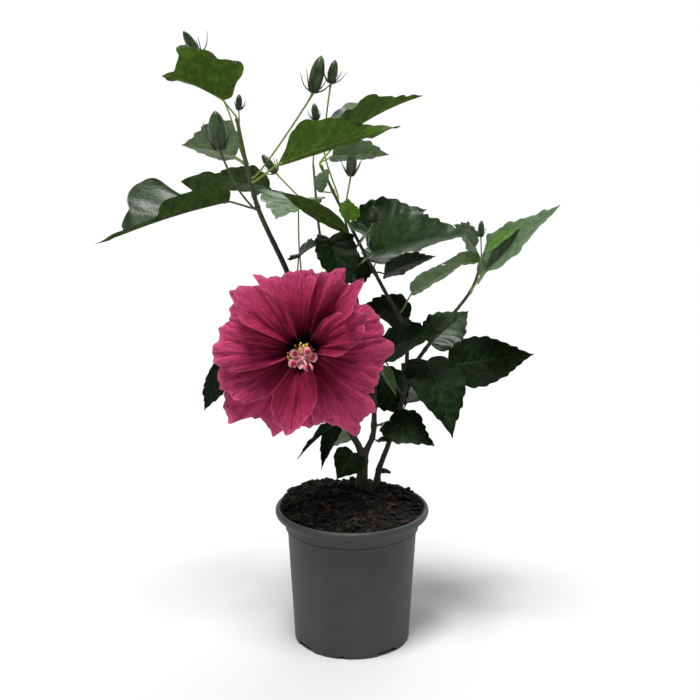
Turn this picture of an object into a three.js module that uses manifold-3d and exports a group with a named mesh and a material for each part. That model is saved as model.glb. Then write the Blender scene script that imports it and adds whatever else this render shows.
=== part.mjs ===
// Hibiscus shrub growing in a moulded nursery pot.
// Millimetres, +Z up. The origin is the middle of the pot's flat underside, and the bloom faces -Y.
//
// A limb is grown step by step: each step is [heading, rise, length], with the heading measured
// round +Z from +X and the rise measured up from the level, both in degrees.
// A leaf or a bud grows from a place along a limb, on a stalk with a step of its own.

import * as THREE from 'three';
import { mergeVertices } from 'three/addons/utils/BufferGeometryUtils.js';
import Module from 'manifold-3d';

const wasm = await Module();
wasm.setup();

// Driving dimensions
const potHeight = 155;
const rimRadius = 85;
const footRadius = 64.5;
const shoulderRadius = 71.6;
const shoulderHeight = 131;
const wall = 1.8;
const floorThickness = 3;
const touchGap = 0.35;
const potSegments = 36;
const soilTop = 162;
const soilEdge = 150;
const limbSides = 8;
const leafSides = 8;
const leafThickness = 6;
const stalkRadius = 1.3;
const knuckleRadius = 2.6;
const stalkStandOff = 1.3 * stalkRadius;
const flareFade = 6;
const bloomRadius = 88;
const stemsAt = [20, 32];
const soilRise = 2;

const group = new THREE.Group();

function toRadians(degrees) {
  return THREE.MathUtils.degToRad(degrees);
}

function material(colour, roughness) {
  return new THREE.MeshStandardMaterial({ color: colour, roughness, metalness: 0 });
}

const barkBrown = material(0x4a3d2c, 0.8);
const barkGreen = material(0x4d5a2c, 0.7);
const leafDark = material(0x1f3a1c, 0.45);
const leafMid = material(0x345426, 0.5);
const leafLight = material(0x55752c, 0.5);
const budGreen = material(0x35502a, 0.6);
const petalPink = material(0xc8456f, 0.6);
const potGrey = material(0x54575a, 0.6);
const compost = material(0x1c1510, 0.95);

function addMesh(name, geometry, look) {
  const mesh = new THREE.Mesh(geometry, look);
  mesh.name = name;
  group.add(mesh);
}

// Booleans

function toSolid(geometry) {
  const bare = geometry.clone();
  bare.deleteAttribute('normal');
  bare.deleteAttribute('uv');
  const merged = mergeVertices(bare, 1e-4);
  return new wasm.Manifold(new wasm.Mesh({
    numProp: 3,
    vertProperties: merged.attributes.position.array,
    triVerts: Uint32Array.from(merged.index.array),
  }));
}

function toGeometry(solid) {
  const mesh = solid.getMesh();
  const geometry = new THREE.BufferGeometry();
  geometry.setAttribute('position', new THREE.BufferAttribute(mesh.vertProperties, 3));
  geometry.setIndex(new THREE.BufferAttribute(mesh.triVerts, 1));
  return geometry;
}

// Growth

function direction(heading, rise) {
  const level = Math.cos(toRadians(rise));
  return new THREE.Vector3(
    level * Math.cos(toRadians(heading)),
    level * Math.sin(toRadians(heading)),
    Math.sin(toRadians(rise)),
  );
}

function grow(start, steps) {
  const points = [start.clone()];
  for (const [heading, rise, length] of steps) {
    const last = points[points.length - 1];
    points.push(last.clone().addScaledVector(direction(heading, rise), length));
  }
  return points;
}

// Carries a cross direction along a row of tangents without letting it twist.
function carryAcross(tangents, firstAcross) {
  const rows = [];
  const across = firstAcross.clone();
  let before = tangents[0];
  for (const tangent of tangents) {
    across.applyQuaternion(new THREE.Quaternion().setFromUnitVectors(before, tangent));
    across.addScaledVector(tangent, -across.dot(tangent)).normalize();
    rows.push(across.clone());
    before = tangent;
  }
  return rows;
}

// A closed cylinder of unit size whose rings are laid on given places.
// place(ring, cosine, sine) gives the point of one corner of a ring.
function ringedSolid(sides, ringCount, place) {
  const geometry = new THREE.CylinderGeometry(1, 1, 1, sides, ringCount - 1);
  const position = geometry.attributes.position;
  const corner = new THREE.Vector3();
  for (let i = 0; i < position.count; i += 1) {
    corner.fromBufferAttribute(position, i);
    const ring = Math.round((corner.y + 0.5) * (ringCount - 1));
    const point = place(ring, corner.x, corner.z);
    position.setXYZ(i, point.x, point.y, point.z);
  }
  geometry.computeVertexNormals();
  return geometry;
}

// A tapering limb along a smooth curve. flare widens the foot over the first part, and the foot's
// flat cut is square to footTangent where that is given.
function limbGeometry(points, baseRadius, tipRadius, rings, flare = 0, footTangent = null) {
  const curve = new THREE.CatmullRomCurve3(points, false, 'centripetal');
  const fractions = Array.from({ length: rings }, (_, i) => i / (rings - 1));
  const centres = fractions.map((fraction) => curve.getPointAt(fraction));
  const tangents = fractions.map((fraction) => curve.getTangentAt(fraction));
  tangents[0] = footTangent ?? tangents[0];
  const acrosses = carryAcross(tangents, new THREE.Vector3(1, 0, 0));
  return ringedSolid(limbSides, rings, (ring, cosine, sine) => {
    const fraction = fractions[ring];
    const taper = THREE.MathUtils.lerp(baseRadius, tipRadius, fraction);
    const radius = taper + flare * Math.exp(-flareFade * fraction);
    const second = tangents[ring].clone().cross(acrosses[ring]);
    return centres[ring].clone()
      .addScaledVector(acrosses[ring], radius * cosine)
      .addScaledVector(second, -radius * sine);
  });
}

// Limbs. radius is [at the base, at the tip]; from names the limb that this one carries on.
const limbPlans = {
  trunk: {
    start: [11, 30, soilTop + touchGap], steps: [[0, 88, 22], [0, 86, 26]],
    radius: [6.2, 5.4], flare: 3.2, rings: 6, look: barkBrown,
  },
  left_stem_lower: {
    start: [9.4, 28.5, 211.5], steps: [[-146, 59, 26], [-165, 62, 56], [180, 72, 104]], radius: [3.5, 3.3],
    rings: 9, look: barkBrown,
  },
  left_stem_upper: {
    from: 'left_stem_lower', steps: [[163, 72, 32], [173, 66, 78], [180, 76, 46], [180, 79, 50]],
    radius: [3.2, 1.9], rings: 10, look: barkGreen,
  },
  middle_stem: {
    start: [17.2, 30.6, 211.5], steps: [[-24, 66, 16], [-40, 84, 18], [160, 89, 68], [-162, 84, 15]],
    radius: [3, 2.6], rings: 8, look: barkBrown,
  },
  centre_stem: {
    from: 'middle_stem', steps: [[-156, 70, 43], [-149, 79, 40], [-137, 86, 48]], radius: [2.5, 1.4],
    rings: 7, look: barkGreen,
  },
  right_stem: {
    start: [27.5, 36, soilTop + touchGap], steps: [[0, 82, 22], [0, 71, 30], [-9, 73, 52], [-15, 83, 28]],
    radius: [2.8, 2.5], flare: 1.6, rings: 8, look: barkBrown,
  },
  long_shoot: {
    from: 'right_stem',
    steps: [[-20, 85, 26], [-150, 84, 34], [-170, 62, 50], [-166, 62, 62], [-165, 63, 60], [180, 65, 30]],
    radius: [2.4, 1.5], rings: 13, look: barkGreen,
  },
  right_shoot: {
    start: [65.5, 32, 304], steps: [[-4, 55, 54], [-6, 54, 58], [-13, 72, 28]],
    radius: [2.3, 1.5], rings: 7, look: barkGreen,
  },
  thin_shoot: {
    start: [4, 19, 358], steps: [[-170, 63, 65], [165, 77, 44], [180, 85, 72]],
    radius: [1.6, 1.2], rings: 8, look: barkGreen,
  },
};

const limbCurves = {};

for (const [name, plan] of Object.entries(limbPlans)) {
  let start = new THREE.Vector3(...(plan.start ?? [0, 0, 0]));
  let footTangent = plan.flare ? new THREE.Vector3(0, 0, 1) : null;
  if (plan.from) {
    const parent = limbCurves[plan.from];
    footTangent = parent.getTangentAt(1);
    start = parent.getPointAt(1).addScaledVector(footTangent, touchGap);
  }
  const points = grow(start, plan.steps);
  limbCurves[name] = new THREE.CatmullRomCurve3(points, false, 'centripetal');
  const [baseRadius, tipRadius] = plan.radius;
  const geometry = limbGeometry(points, baseRadius, tipRadius, plan.rings, plan.flare, footTangent);
  addMesh(name, geometry, plan.look);
}

function limbRadiusAt(name, place) {
  const [baseRadius, tipRadius] = limbPlans[name].radius;
  return THREE.MathUtils.lerp(baseRadius, tipRadius, place);
}

// The point just off a limb's surface, or past its tip, where something of this radius begins.
function footOn(limb, place, heading, rise, radius) {
  const centre = limbCurves[limb].getPointAt(place);
  const tangent = limbCurves[limb].getTangentAt(place);
  if (place === 1) {
    return centre.addScaledVector(tangent, radius + touchGap);
  }
  const out = direction(heading, rise);
  out.addScaledVector(tangent, -out.dot(tangent)).normalize();
  return centre.addScaledVector(out, limbRadiusAt(limb, place) + radius + touchGap);
}

// A leaf is one closed pad with its stalk: stalk is [heading, rise, length]; blade is
// [heading, rise, length]; roll turns the blade about its own length, and its face looks up at 0.
// fold is how far each half is raised, and droop how far the blade bends down, both in degrees.
const ringPlaces = [0, 0.16, 0.4, 0.7, 1];
const ringWidths = [0.1, 0.8, 1, 0.6, 0.06];

function leafGeometry(leaf, foot) {
  const [stalkHeading, stalkRise, stalkLength] = leaf.stalk;
  const [bladeHeading, bladeRise, bladeLength] = leaf.blade;
  const stalkEnd = foot.clone().addScaledVector(direction(stalkHeading, stalkRise), stalkLength);
  const along = direction(bladeHeading, bladeRise);
  const side = along.clone().cross(new THREE.Vector3(0, 0, 1)).normalize();
  const up = side.clone().cross(along);
  const roll = toRadians(leaf.roll);
  const face = up.clone().multiplyScalar(Math.cos(roll)).addScaledVector(side, Math.sin(roll));
  const across = along.clone().cross(face);

  // The blade's midrib is an arc over its chord.
  const droop = toRadians(leaf.droop);
  const arcRadius = bladeLength / (2 * Math.sin(droop / 2));
  const centres = [foot, foot.clone().lerp(stalkEnd, 0.6)];
  const tangents = [direction(stalkHeading, stalkRise), direction(stalkHeading, stalkRise)];
  const halfWidths = [stalkRadius, stalkRadius];
  const halfDepths = [stalkRadius, stalkRadius];
  for (const [i, place] of ringPlaces.entries()) {
    const turn = droop * (place - 0.5);
    const forward = arcRadius * (Math.sin(droop / 2) + Math.sin(turn));
    const lift = arcRadius * (Math.cos(turn) - Math.cos(droop / 2));
    centres.push(stalkEnd.clone().addScaledVector(along, forward).addScaledVector(face, lift));
    tangents.push(along.clone().multiplyScalar(Math.cos(turn)).addScaledVector(face, -Math.sin(turn)));
    halfWidths.push(Math.max(ringWidths[i] * leaf.width / 2, stalkRadius));
    halfDepths.push(Math.max(Math.sqrt(ringWidths[i]) * leafThickness / 2, stalkRadius));
  }
  const fold = toRadians(leaf.fold);
  // Frames are carried back from the blade to the foot, so that the stalk joins it without a twist.
  const back = carryAcross([...tangents].reverse(), across).reverse();
  return ringedSolid(leafSides, centres.length, (ring, cosine, sine) => {
    const inBlade = ring >= 2;
    const out = halfWidths[ring] * cosine;
    const raised = inBlade ? Math.abs(out) * Math.sin(fold) : 0;
    const level = inBlade ? out * Math.cos(fold) : out;
    const normal = back[ring].clone().cross(tangents[ring]);
    return centres[ring].clone()
      .addScaledVector(back[ring], level)
      .addScaledVector(normal, raised + halfDepths[ring] * sine);
  });
}

// Foliage masses. Each has one leaf or a few whose stalks start at one place on a limb.
const foliagePlans = {
  far_left_leaf: {
    limb: 'left_stem_upper', at: 0.54, look: leafMid,
    leaves: [{ stalk: [-151, 17, 30], blade: [-163, -15, 146], width: 100, roll: 4, fold: 34, droop: 24 }],
  },
  top_left_leaf: {
    limb: 'left_stem_upper', at: 1, look: leafLight,
    leaves: [{ stalk: [-163, 52, 22], blade: [-163, 22, 68], width: 84, roll: 50, fold: 38, droop: 24 }],
  },
  upper_left_leaf: {
    limb: 'left_stem_upper', at: 0.77, look: leafMid,
    leaves: [{ stalk: [148, 34, 13], blade: [156, 8, 66], width: 66, roll: 54, fold: 32, droop: 16 }],
  },
  left_back_leaf: {
    limb: 'left_stem_upper', at: 0.6, look: leafMid,
    leaves: [{ stalk: [50, 18, 20], blade: [163, 2, 78], width: 44, roll: 50, fold: 16, droop: 16 }],
  },
  hanging_leaf: {
    limb: 'left_stem_upper', at: 0.03, look: leafLight,
    leaves: [{ stalk: [100, 84, 104], blade: [-118, -14, 52], width: 58, roll: -8, fold: 12, droop: 40 }],
  },
  small_left_leaf: {
    limb: 'left_stem_upper', at: 0.08, look: leafMid,
    leaves: [{ stalk: [-60, 80, 34], blade: [-50, 28, 38], width: 34, roll: 30, fold: 24, droop: 16 }],
  },
  upper_middle_leaf: {
    limb: 'left_stem_upper', at: 0.67, look: leafLight,
    leaves: [{ stalk: [-42, 30, 42], blade: [-28, 18, 148], width: 74, roll: -50, fold: 36, droop: 20 }],
  },
  upper_right_leaves: {
    limb: 'long_shoot', at: 1, look: leafLight,
    leaves: [
      { stalk: [33, 44, 32], blade: [20, 25, 106], width: 52, roll: -24, fold: 32, droop: 22 },
      { stalk: [10, 30, 16], blade: [24, -2, 68], width: 44, roll: -52, fold: 16, droop: 14 },
    ],
  },
  young_leaves: {
    limb: 'long_shoot', at: 0.77, look: leafLight,
    leaves: [
      { stalk: [-62, -60, 16], blade: [-142, 30, 100], width: 30, roll: 62, fold: 22, droop: 24 },
      { stalk: [-66, 0, 8], blade: [-88, 56, 30], width: 24, roll: -20, fold: 24, droop: 10 },
      { stalk: [-36, -50, 10], blade: [10, -24, 28], width: 20, roll: 30, fold: 16, droop: 10 },
    ],
  },
  small_folded_leaf: {
    limb: 'long_shoot', at: 0.89, look: leafMid,
    leaves: [{ stalk: [-140, 8, 16], blade: [-10, 66, 27], width: 18, roll: 60, fold: 20, droop: 12 }],
  },
  dark_middle_leaf: {
    limb: 'thin_shoot', at: 0.56, look: leafDark,
    leaves: [{ stalk: [-40, 10, 9], blade: [-62, -58, 66], width: 50, roll: 4, fold: 24, droop: 14 }],
  },
  dark_centre_leaf: {
    limb: 'centre_stem', at: 0.8, look: leafDark,
    leaves: [{ stalk: [80, 0, 14], blade: [80, -62, 44], width: 34, roll: 170, fold: 14, droop: 12 }],
  },
  glossy_back_leaf: {
    limb: 'centre_stem', at: 0.88, look: leafDark,
    leaves: [{ stalk: [62, 28, 32], blade: [14, 18, 72], width: 62, roll: 48, fold: 12, droop: 16 }],
  },
  glossy_right_leaf: {
    limb: 'centre_stem', at: 0.75, look: leafDark,
    leaves: [{ stalk: [-31, 38, 26], blade: [-24, 14, 116], width: 74, roll: 30, fold: 22, droop: 22 }],
  },
  inner_right_leaf: {
    limb: 'long_shoot', at: 0.5, look: leafMid,
    leaves: [{ stalk: [-20, -8, 8], blade: [-23, 22, 62], width: 34, roll: 34, fold: 14, droop: 14 }],
  },
  pale_right_leaf: {
    limb: 'long_shoot', at: 0.3, look: leafMid,
    leaves: [{ stalk: [20, 58, 24], blade: [13, 27, 66], width: 34, roll: -50, fold: 14, droop: 12 }],
  },
  right_tip_leaves: {
    limb: 'right_shoot', at: 1, look: leafLight,
    leaves: [
      { stalk: [-120, 20, 8], blade: [-156, 0, 46], width: 24, roll: 50, fold: 18, droop: 16 },
      { stalk: [110, 40, 22], blade: [135, 34, 38], width: 44, roll: 60, fold: 10, droop: 12 },
      { stalk: [-30, 60, 10], blade: [-20, 40, 48], width: 18, roll: -30, fold: 26, droop: 12 },
    ],
  },
  far_right_leaf: {
    limb: 'right_shoot', at: 0.77, look: leafDark,
    leaves: [{ stalk: [-52, 46, 25], blade: [-25, 44, 118], width: 54, roll: 46, fold: 18, droop: 22 }],
  },
  dark_crossing_leaf: {
    limb: 'long_shoot', at: 0.2, look: leafDark,
    leaves: [{ stalk: [80, 50, 18], blade: [164, 14, 54], width: 50, roll: 56, fold: 12, droop: 14 }],
  },
  dark_inner_leaf: {
    limb: 'right_stem', at: 0.9, look: leafDark,
    leaves: [{ stalk: [-128, 56, 64], blade: [-34, 24, 82], width: 54, roll: 40, fold: 12, droop: 16 }],
  },
  grey_right_leaf: {
    limb: 'right_shoot', at: 0.19, look: leafMid,
    leaves: [{ stalk: [60, 20, 12], blade: [36, 28, 62], width: 44, roll: -44, fold: 10, droop: 12 }],
  },
  big_dark_leaf: {
    limb: 'right_stem', at: 0.98, look: leafDark,
    leaves: [{ stalk: [-58, 42, 52], blade: [-66, -49, 92], width: 60, roll: 4, fold: 8, droop: 26 }],
  },
  flat_right_leaf: {
    limb: 'right_stem', at: 0.94, look: leafDark,
    leaves: [{ stalk: [-8, 30, 54], blade: [0, 8, 92], width: 58, roll: 58, fold: 6, droop: 8 }],
  },
  low_dark_leaf: {
    limb: 'middle_stem', at: 0.58, look: leafDark,
    leaves: [{ stalk: [84, 44, 26], blade: [40, -58, 66], width: 52, roll: 170, fold: 10, droop: 14 }],
  },
  small_green_leaf: {
    limb: 'middle_stem', at: 0.66, look: leafLight,
    leaves: [{ stalk: [-80, 52, 36], blade: [-52, -44, 40], width: 24, roll: -20, fold: 16, droop: 14 }],
  },
  low_right_leaf: {
    limb: 'middle_stem', at: 0.27, look: leafDark,
    leaves: [{ stalk: [-52, 24, 24], blade: [-40, -14, 64], width: 42, roll: 36, fold: 10, droop: 16 }],
  },
  low_back_right_leaf: {
    limb: 'middle_stem', at: 0.24, look: leafMid,
    leaves: [{ stalk: [40, -6, 18], blade: [23, -26, 44], width: 24, roll: -44, fold: 10, droop: 12 }],
  },
  low_left_leaf: {
    limb: 'left_stem_lower', at: 0.24, look: leafDark,
    leaves: [{ stalk: [-120, 0, 18], blade: [-148, -34, 54], width: 32, roll: 40, fold: 16, droop: 14 }],
  },
  low_left_twisted_leaf: {
    limb: 'left_stem_lower', at: 0.2, look: leafDark,
    leaves: [{ stalk: [130, -20, 8], blade: [165, -70, 58], width: 26, roll: 40, fold: 16, droop: 14 }],
  },
  grey_low_leaf: {
    limb: 'left_stem_lower', at: 0.1, look: leafMid,
    leaves: [{ stalk: [70, -6, 20], blade: [145, -30, 56], width: 26, roll: -40, fold: 10, droop: 12 }],
  },
  foot_left_leaf: {
    limb: 'trunk', at: 0.92, look: leafDark,
    leaves: [{ stalk: [-150, 10, 6], blade: [-136, -30, 36], width: 34, roll: -46, fold: 10, droop: 16 }],
  },
  foot_back_leaf: {
    limb: 'trunk', at: 0.7, look: leafDark,
    leaves: [{ stalk: [118, 10, 10], blade: [125, -48, 32], width: 22, roll: 160, fold: 10, droop: 10 }],
  },
  foot_right_leaf: {
    limb: 'right_stem', at: 0.16, look: leafDark,
    leaves: [{ stalk: [80, -10, 8], blade: [50, -32, 22], width: 16, roll: 160, fold: 10, droop: 10 }],
  },
  behind_bloom_leaf: {
    limb: 'left_stem_lower', at: 0.74, look: leafDark,
    leaves: [{ stalk: [164, -12, 98], blade: [150, -66, 72], width: 34, roll: -150, fold: 16, droop: 12 }],
  },
  back_leaf_low_left: {
    limb: 'left_stem_lower', at: 0.3, look: leafMid,
    leaves: [{ stalk: [96, 20, 26], blade: [100, -12, 82], width: 56, roll: 10, fold: 14, droop: 30 }],
  },
  back_leaf_left: {
    limb: 'left_stem_lower', at: 0.5, look: leafMid,
    leaves: [{ stalk: [130, 22, 28], blade: [122, -6, 76], width: 56, roll: -12, fold: 14, droop: 26 }],
  },
  back_leaf_middle: {
    limb: 'left_stem_lower', at: 0.86, look: leafMid,
    leaves: [{ stalk: [84, 14, 24], blade: [80, -10, 84], width: 60, roll: 8, fold: 14, droop: 28 }],
  },
  back_leaf_centre: {
    limb: 'centre_stem', at: 0.12, look: leafMid,
    leaves: [{ stalk: [112, 10, 24], blade: [108, -12, 82], width: 56, roll: -8, fold: 14, droop: 28 }],
  },
  back_leaf_low: {
    limb: 'middle_stem', at: 0.42, look: leafDark,
    leaves: [{ stalk: [130, 4, 22], blade: [112, -18, 78], width: 54, roll: 8, fold: 14, droop: 24 }],
  },
  back_leaf_right: {
    limb: 'right_stem', at: 0.66, look: leafDark,
    leaves: [{ stalk: [62, 28, 24], blade: [56, -2, 74], width: 50, roll: -8, fold: 14, droop: 24 }],
  },
  back_leaf_upper: {
    limb: 'long_shoot', at: 0.52, look: leafMid,
    leaves: [{ stalk: [80, 12, 14], blade: [66, 4, 62], width: 44, roll: 10, fold: 14, droop: 20 }],
  },
};

for (const [name, plan] of Object.entries(foliagePlans)) {
  const [heading, rise] = plan.leaves[0].stalk;
  if (plan.leaves.length === 1) {
    const foot = footOn(plan.limb, plan.at, heading, rise, stalkStandOff);
    addMesh(name, leafGeometry(plan.leaves[0], foot), plan.look);
  } else {
    // The stalks of a spray meet in a small knuckle.
    const foot = footOn(plan.limb, plan.at, heading, rise, knuckleRadius);
    const knuckle = new THREE.IcosahedronGeometry(knuckleRadius, 1).translate(...foot.toArray());
    let spray = toSolid(knuckle);
    for (const leaf of plan.leaves) {
      spray = spray.add(toSolid(leafGeometry(leaf, foot)));
    }
    addMesh(name, toGeometry(spray), plan.look);
  }
}

// Flower buds, each a pointed solid on its own stalk. steps lead from the limb to the bud's base.
const budPlans = {
  bud_top_left: {
    limb: 'left_stem_upper', at: 0.79, steps: [[140, 66, 58], [176, 62, 60]],
    bud: [-160, 58, 31], radius: 5.2,
  },
  bud_dark_left: {
    limb: 'left_stem_upper', at: 0.53, steps: [[-138, 46, 34], [-165, 66, 44]],
    bud: [-113, 78, 42], radius: 9.5,
  },
  bud_upper_middle: {
    limb: 'left_stem_upper', at: 0.69, steps: [[8, 54, 108]],
    bud: [25, 75, 40], radius: 7.6,
  },
  bud_top_middle: {
    limb: 'long_shoot', at: 0.85, steps: [[150, 70, 50], [40, 86, 34], [40, 80, 38]],
    bud: [32, 77, 25], radius: 5.2,
  },
  bud_inner: {
    limb: 'long_shoot', at: 0.81, steps: [[-70, 46, 10], [-30, 78, 28]],
    bud: [-68, 78, 28], radius: 5.6,
  },
};

const budProfile = [0.5, 0.95, 1, 0.72, 0.12];

function budGeometry(plan) {
  const [heading, rise] = plan.steps[0];
  const foot = footOn(plan.limb, plan.at, heading, rise, stalkStandOff);
  const stalk = grow(foot, plan.steps);
  const base = stalk[stalk.length - 1];
  const along = direction(plan.bud[0], plan.bud[1]);
  const tangents = plan.steps.map((step) => direction(step[0], step[1]));
  tangents.push(tangents[tangents.length - 1].clone().lerp(along, 0.5).normalize());
  const centres = [...stalk];
  const radii = stalk.map(() => stalkRadius);
  for (const [i, share] of budProfile.entries()) {
    const place = THREE.MathUtils.lerp(0.08, 1, i / (budProfile.length - 1));
    centres.push(base.clone().addScaledVector(along, plan.bud[2] * place));
    tangents.push(along);
    radii.push(share * plan.radius);
  }
  const acrosses = carryAcross(tangents, new THREE.Vector3(1, 0, 0));
  return ringedSolid(6, centres.length, (ring, cosine, sine) => {
    const second = tangents[ring].clone().cross(acrosses[ring]);
    return centres[ring].clone()
      .addScaledVector(acrosses[ring], radii[ring] * cosine)
      .addScaledVector(second, -radii[ring] * sine);
  });
}

for (const [name, plan] of Object.entries(budPlans)) {
  addMesh(name, budGeometry(plan), budGreen);
}

// The open double bloom: a ruffled dish round a hollow throat, with its calyx and stalk behind.
const bloomCentre = new THREE.Vector3(-51, -60, 341);
const bloomFacing = direction(-88, 12);
const petalCount = 7;

function bloomGeometry() {
  // [radius share, how far forward]: out over the front, round the edge and back to the calyx
  const profile = [
    [0, 2], [0.1, 4], [0.3, 20], [0.62, 30], [0.88, 26],
    [1, 12], [0.86, 0], [0.45, -16], [0.14, -34], [0, -36],
  ];
  const points = profile.map(([share, forward]) => new THREE.Vector2(share * bloomRadius, -forward));
  const dish = new THREE.LatheGeometry(points, 28);
  const position = dish.attributes.position;
  const corner = new THREE.Vector3();
  for (let i = 0; i < position.count; i += 1) {
    corner.fromBufferAttribute(position, i);
    const share = Math.hypot(corner.x, corner.z) / bloomRadius;
    const angle = Math.atan2(corner.z, corner.x);
    const scallop = 0.045 * Math.cos(petalCount * angle + 0.6) + 0.03 * Math.cos(3 * angle + 2);
    const lobe = 1 + share * scallop;
    const wave = share * share * 5 * Math.sin(petalCount * angle + 1.4);
    position.setXYZ(i, corner.x * lobe, corner.y + wave, corner.z * lobe);
  }
  const turn = new THREE.Quaternion().setFromUnitVectors(new THREE.Vector3(0, -1, 0), bloomFacing);
  dish.applyQuaternion(turn);
  dish.translate(...bloomCentre.toArray());
  return dish;
}

function bloomStalk() {
  const stem = limbCurves.left_stem_lower.getPointAt(0.72);
  const calyx = bloomCentre.clone().addScaledVector(bloomFacing, -28);
  const foot = stem.clone().lerp(calyx, 0.28);
  const points = [foot, foot.clone().lerp(calyx, 0.5), calyx];
  return limbGeometry(points, 2.2, 5, 4);
}

addMesh('bloom', toGeometry(toSolid(bloomGeometry()).add(toSolid(bloomStalk()))), petalPink);

// The pot: one moulded wall with a rolled lip, a plain collar and drainage notches round its foot.
const potProfile = [
  [0, 0], [footRadius, 0], [shoulderRadius, shoulderHeight], [73.4, shoulderHeight + 1.5], [75.4, 145.5],
  [82.4, 146], [rimRadius - 0.4, 148.4], [rimRadius, 151.4], [rimRadius - 1.2, 154], [82, potHeight],
  [80, 154.2], [78, 151], [74, 144.5], [71.5, shoulderHeight], [shoulderRadius - wall, shoulderHeight - 2],
  [footRadius - wall, floorThickness], [0, floorThickness],
].map(([radius, height]) => new THREE.Vector2(radius, height));

let pot = toSolid(new THREE.LatheGeometry(potProfile, potSegments).rotateX(Math.PI / 2));

function cutNotch(heading, width, height) {
  const depth = 16;
  const box = new THREE.BoxGeometry(depth, width, 2 * height);
  box.translate(footRadius, 0, 0);
  box.rotateZ(toRadians(heading));
  pot = pot.subtract(toSolid(box));
}

for (let quarter = 0; quarter < 4; quarter += 1) {
  cutNotch(-53 + 90 * quarter, 25, 5);
  cutNotch(-10 + 90 * quarter, 6, 3);
}
addMesh('pot', toGeometry(pot), potGrey);

// The root ball fills the pot; its top is mounded towards the back and level round the stems.
function soilHeight(x, y) {
  const fromStems = Math.hypot(x - stemsAt[0], y - stemsAt[1]);
  const level = 1 - THREE.MathUtils.smoothstep(fromStems, 22, 34);
  const crown = soilTop + soilRise;
  const fall = (crown - soilEdge) * (y > 20 ? 0.45 : 1);
  const fromMiddle = Math.hypot(x, y) / 70;
  const mound = crown - fall * fromMiddle * fromMiddle;
  const lumps = 1.6 * Math.sin(x / 9) * Math.cos(y / 11 + 1);
  return THREE.MathUtils.lerp(Math.min(mound + lumps, crown + 1), soilTop, level);
}

function soilGeometry() {
  const bottom = floorThickness + touchGap;
  const inner = footRadius - wall - touchGap;
  const shoulder = shoulderRadius - wall - touchGap - 0.4;
  const topRadii = [74, 60, 45, 30, 15];
  const points = [[0, bottom], [inner, bottom], [shoulder, shoulderHeight - 3], [72.8, 146]];
  for (const radius of topRadii) {
    points.push([radius, soilTop]);
  }
  points.push([0, soilTop]);
  const ball = new THREE.LatheGeometry(points.map(([r, z]) => new THREE.Vector2(r, z)), 30);
  ball.rotateX(Math.PI / 2);
  const position = ball.attributes.position;
  for (let i = 0; i < position.count; i += 1) {
    if (position.getZ(i) > soilTop - 0.1) {
      position.setZ(i, soilHeight(position.getX(i), position.getY(i)));
    }
  }
  return ball;
}

addMesh('root_ball', soilGeometry(), compost);

export default group;
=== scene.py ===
import math

import bpy
import numpy as np
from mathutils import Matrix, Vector, noise


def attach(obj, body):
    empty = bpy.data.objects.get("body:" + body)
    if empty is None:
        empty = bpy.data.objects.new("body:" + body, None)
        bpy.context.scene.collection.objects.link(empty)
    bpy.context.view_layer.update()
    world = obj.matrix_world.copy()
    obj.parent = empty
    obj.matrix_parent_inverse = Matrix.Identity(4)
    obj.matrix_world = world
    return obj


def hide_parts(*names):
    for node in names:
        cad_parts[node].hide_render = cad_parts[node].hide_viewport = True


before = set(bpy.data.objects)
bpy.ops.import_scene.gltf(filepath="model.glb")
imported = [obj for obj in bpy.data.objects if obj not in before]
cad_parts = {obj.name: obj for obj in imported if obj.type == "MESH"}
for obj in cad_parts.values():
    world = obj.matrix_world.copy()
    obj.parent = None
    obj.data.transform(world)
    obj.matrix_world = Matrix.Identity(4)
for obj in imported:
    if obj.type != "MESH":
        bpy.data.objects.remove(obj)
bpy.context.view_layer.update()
print("frame loaded:", len(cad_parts), "solids")

# Lengths below are in millimetres and angles in degrees, unless a note says otherwise.
metre = 0.001


# Growth: limbs, leaves and buds all grow by steps of a heading, a rise and a length.
def direction(heading, rise):
    heading, rise = math.radians(heading), math.radians(rise)
    level = math.cos(rise)
    return np.array([level * math.cos(heading), level * math.sin(heading), math.sin(rise)])


def unit(vectors):
    return vectors / np.maximum(np.linalg.norm(vectors, axis=-1, keepdims=True), 1e-12)


def grow(start, steps):
    points = [np.array(start, float)]
    for heading, rise, length in steps:
        points.append(points[-1] + direction(heading, rise) * length)
    return np.array(points)


# A smooth curve through the points, evenly sampled along its length.
def smoothPath(points, samples=240):
    points = np.asarray(points, float)
    ends = np.vstack([2 * points[0] - points[1], points, 2 * points[-1] - points[-2]])
    rows = []
    for i in range(len(points) - 1):
        before, here, there, after = ends[i:i + 4]
        pairs = ((before, here), (here, there), (there, after))
        g0, g1, g2 = [max(np.linalg.norm(b - a), 1e-6) ** 0.5 for a, b in pairs]
        leave = ((here - before) / g0 - (there - before) / (g0 + g1) + (there - here) / g1) * g1
        arrive = ((there - here) / g1 - (after - here) / (g1 + g2) + (after - there) / g2) * g1
        t = np.linspace(0, 1, 60, endpoint=i == len(points) - 2)[:, None]
        rows.append(here + leave * t + (3 * (there - here) - 2 * leave - arrive) * t ** 2
                    + (2 * (here - there) + leave + arrive) * t ** 3)
    dense = np.vstack(rows)
    along = np.concatenate([[0], np.cumsum(np.linalg.norm(np.diff(dense, axis=0), axis=1))])
    even = np.linspace(0, along[-1], samples)
    return np.stack([np.interp(even, along, dense[:, k]) for k in range(3)], 1)


def pathLength(path):
    return float(np.linalg.norm(np.diff(path, axis=0), axis=1).sum())


def pathAt(path, place):
    at = np.clip(place, 0, 1) * (len(path) - 1)
    low = min(int(at), len(path) - 2)
    return path[low] + (path[low + 1] - path[low]) * (at - low)


def pathTangent(path, place):
    low = min(int(np.clip(place, 0, 1) * (len(path) - 1)), len(path) - 2)
    return unit(path[low + 1] - path[low])


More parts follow.
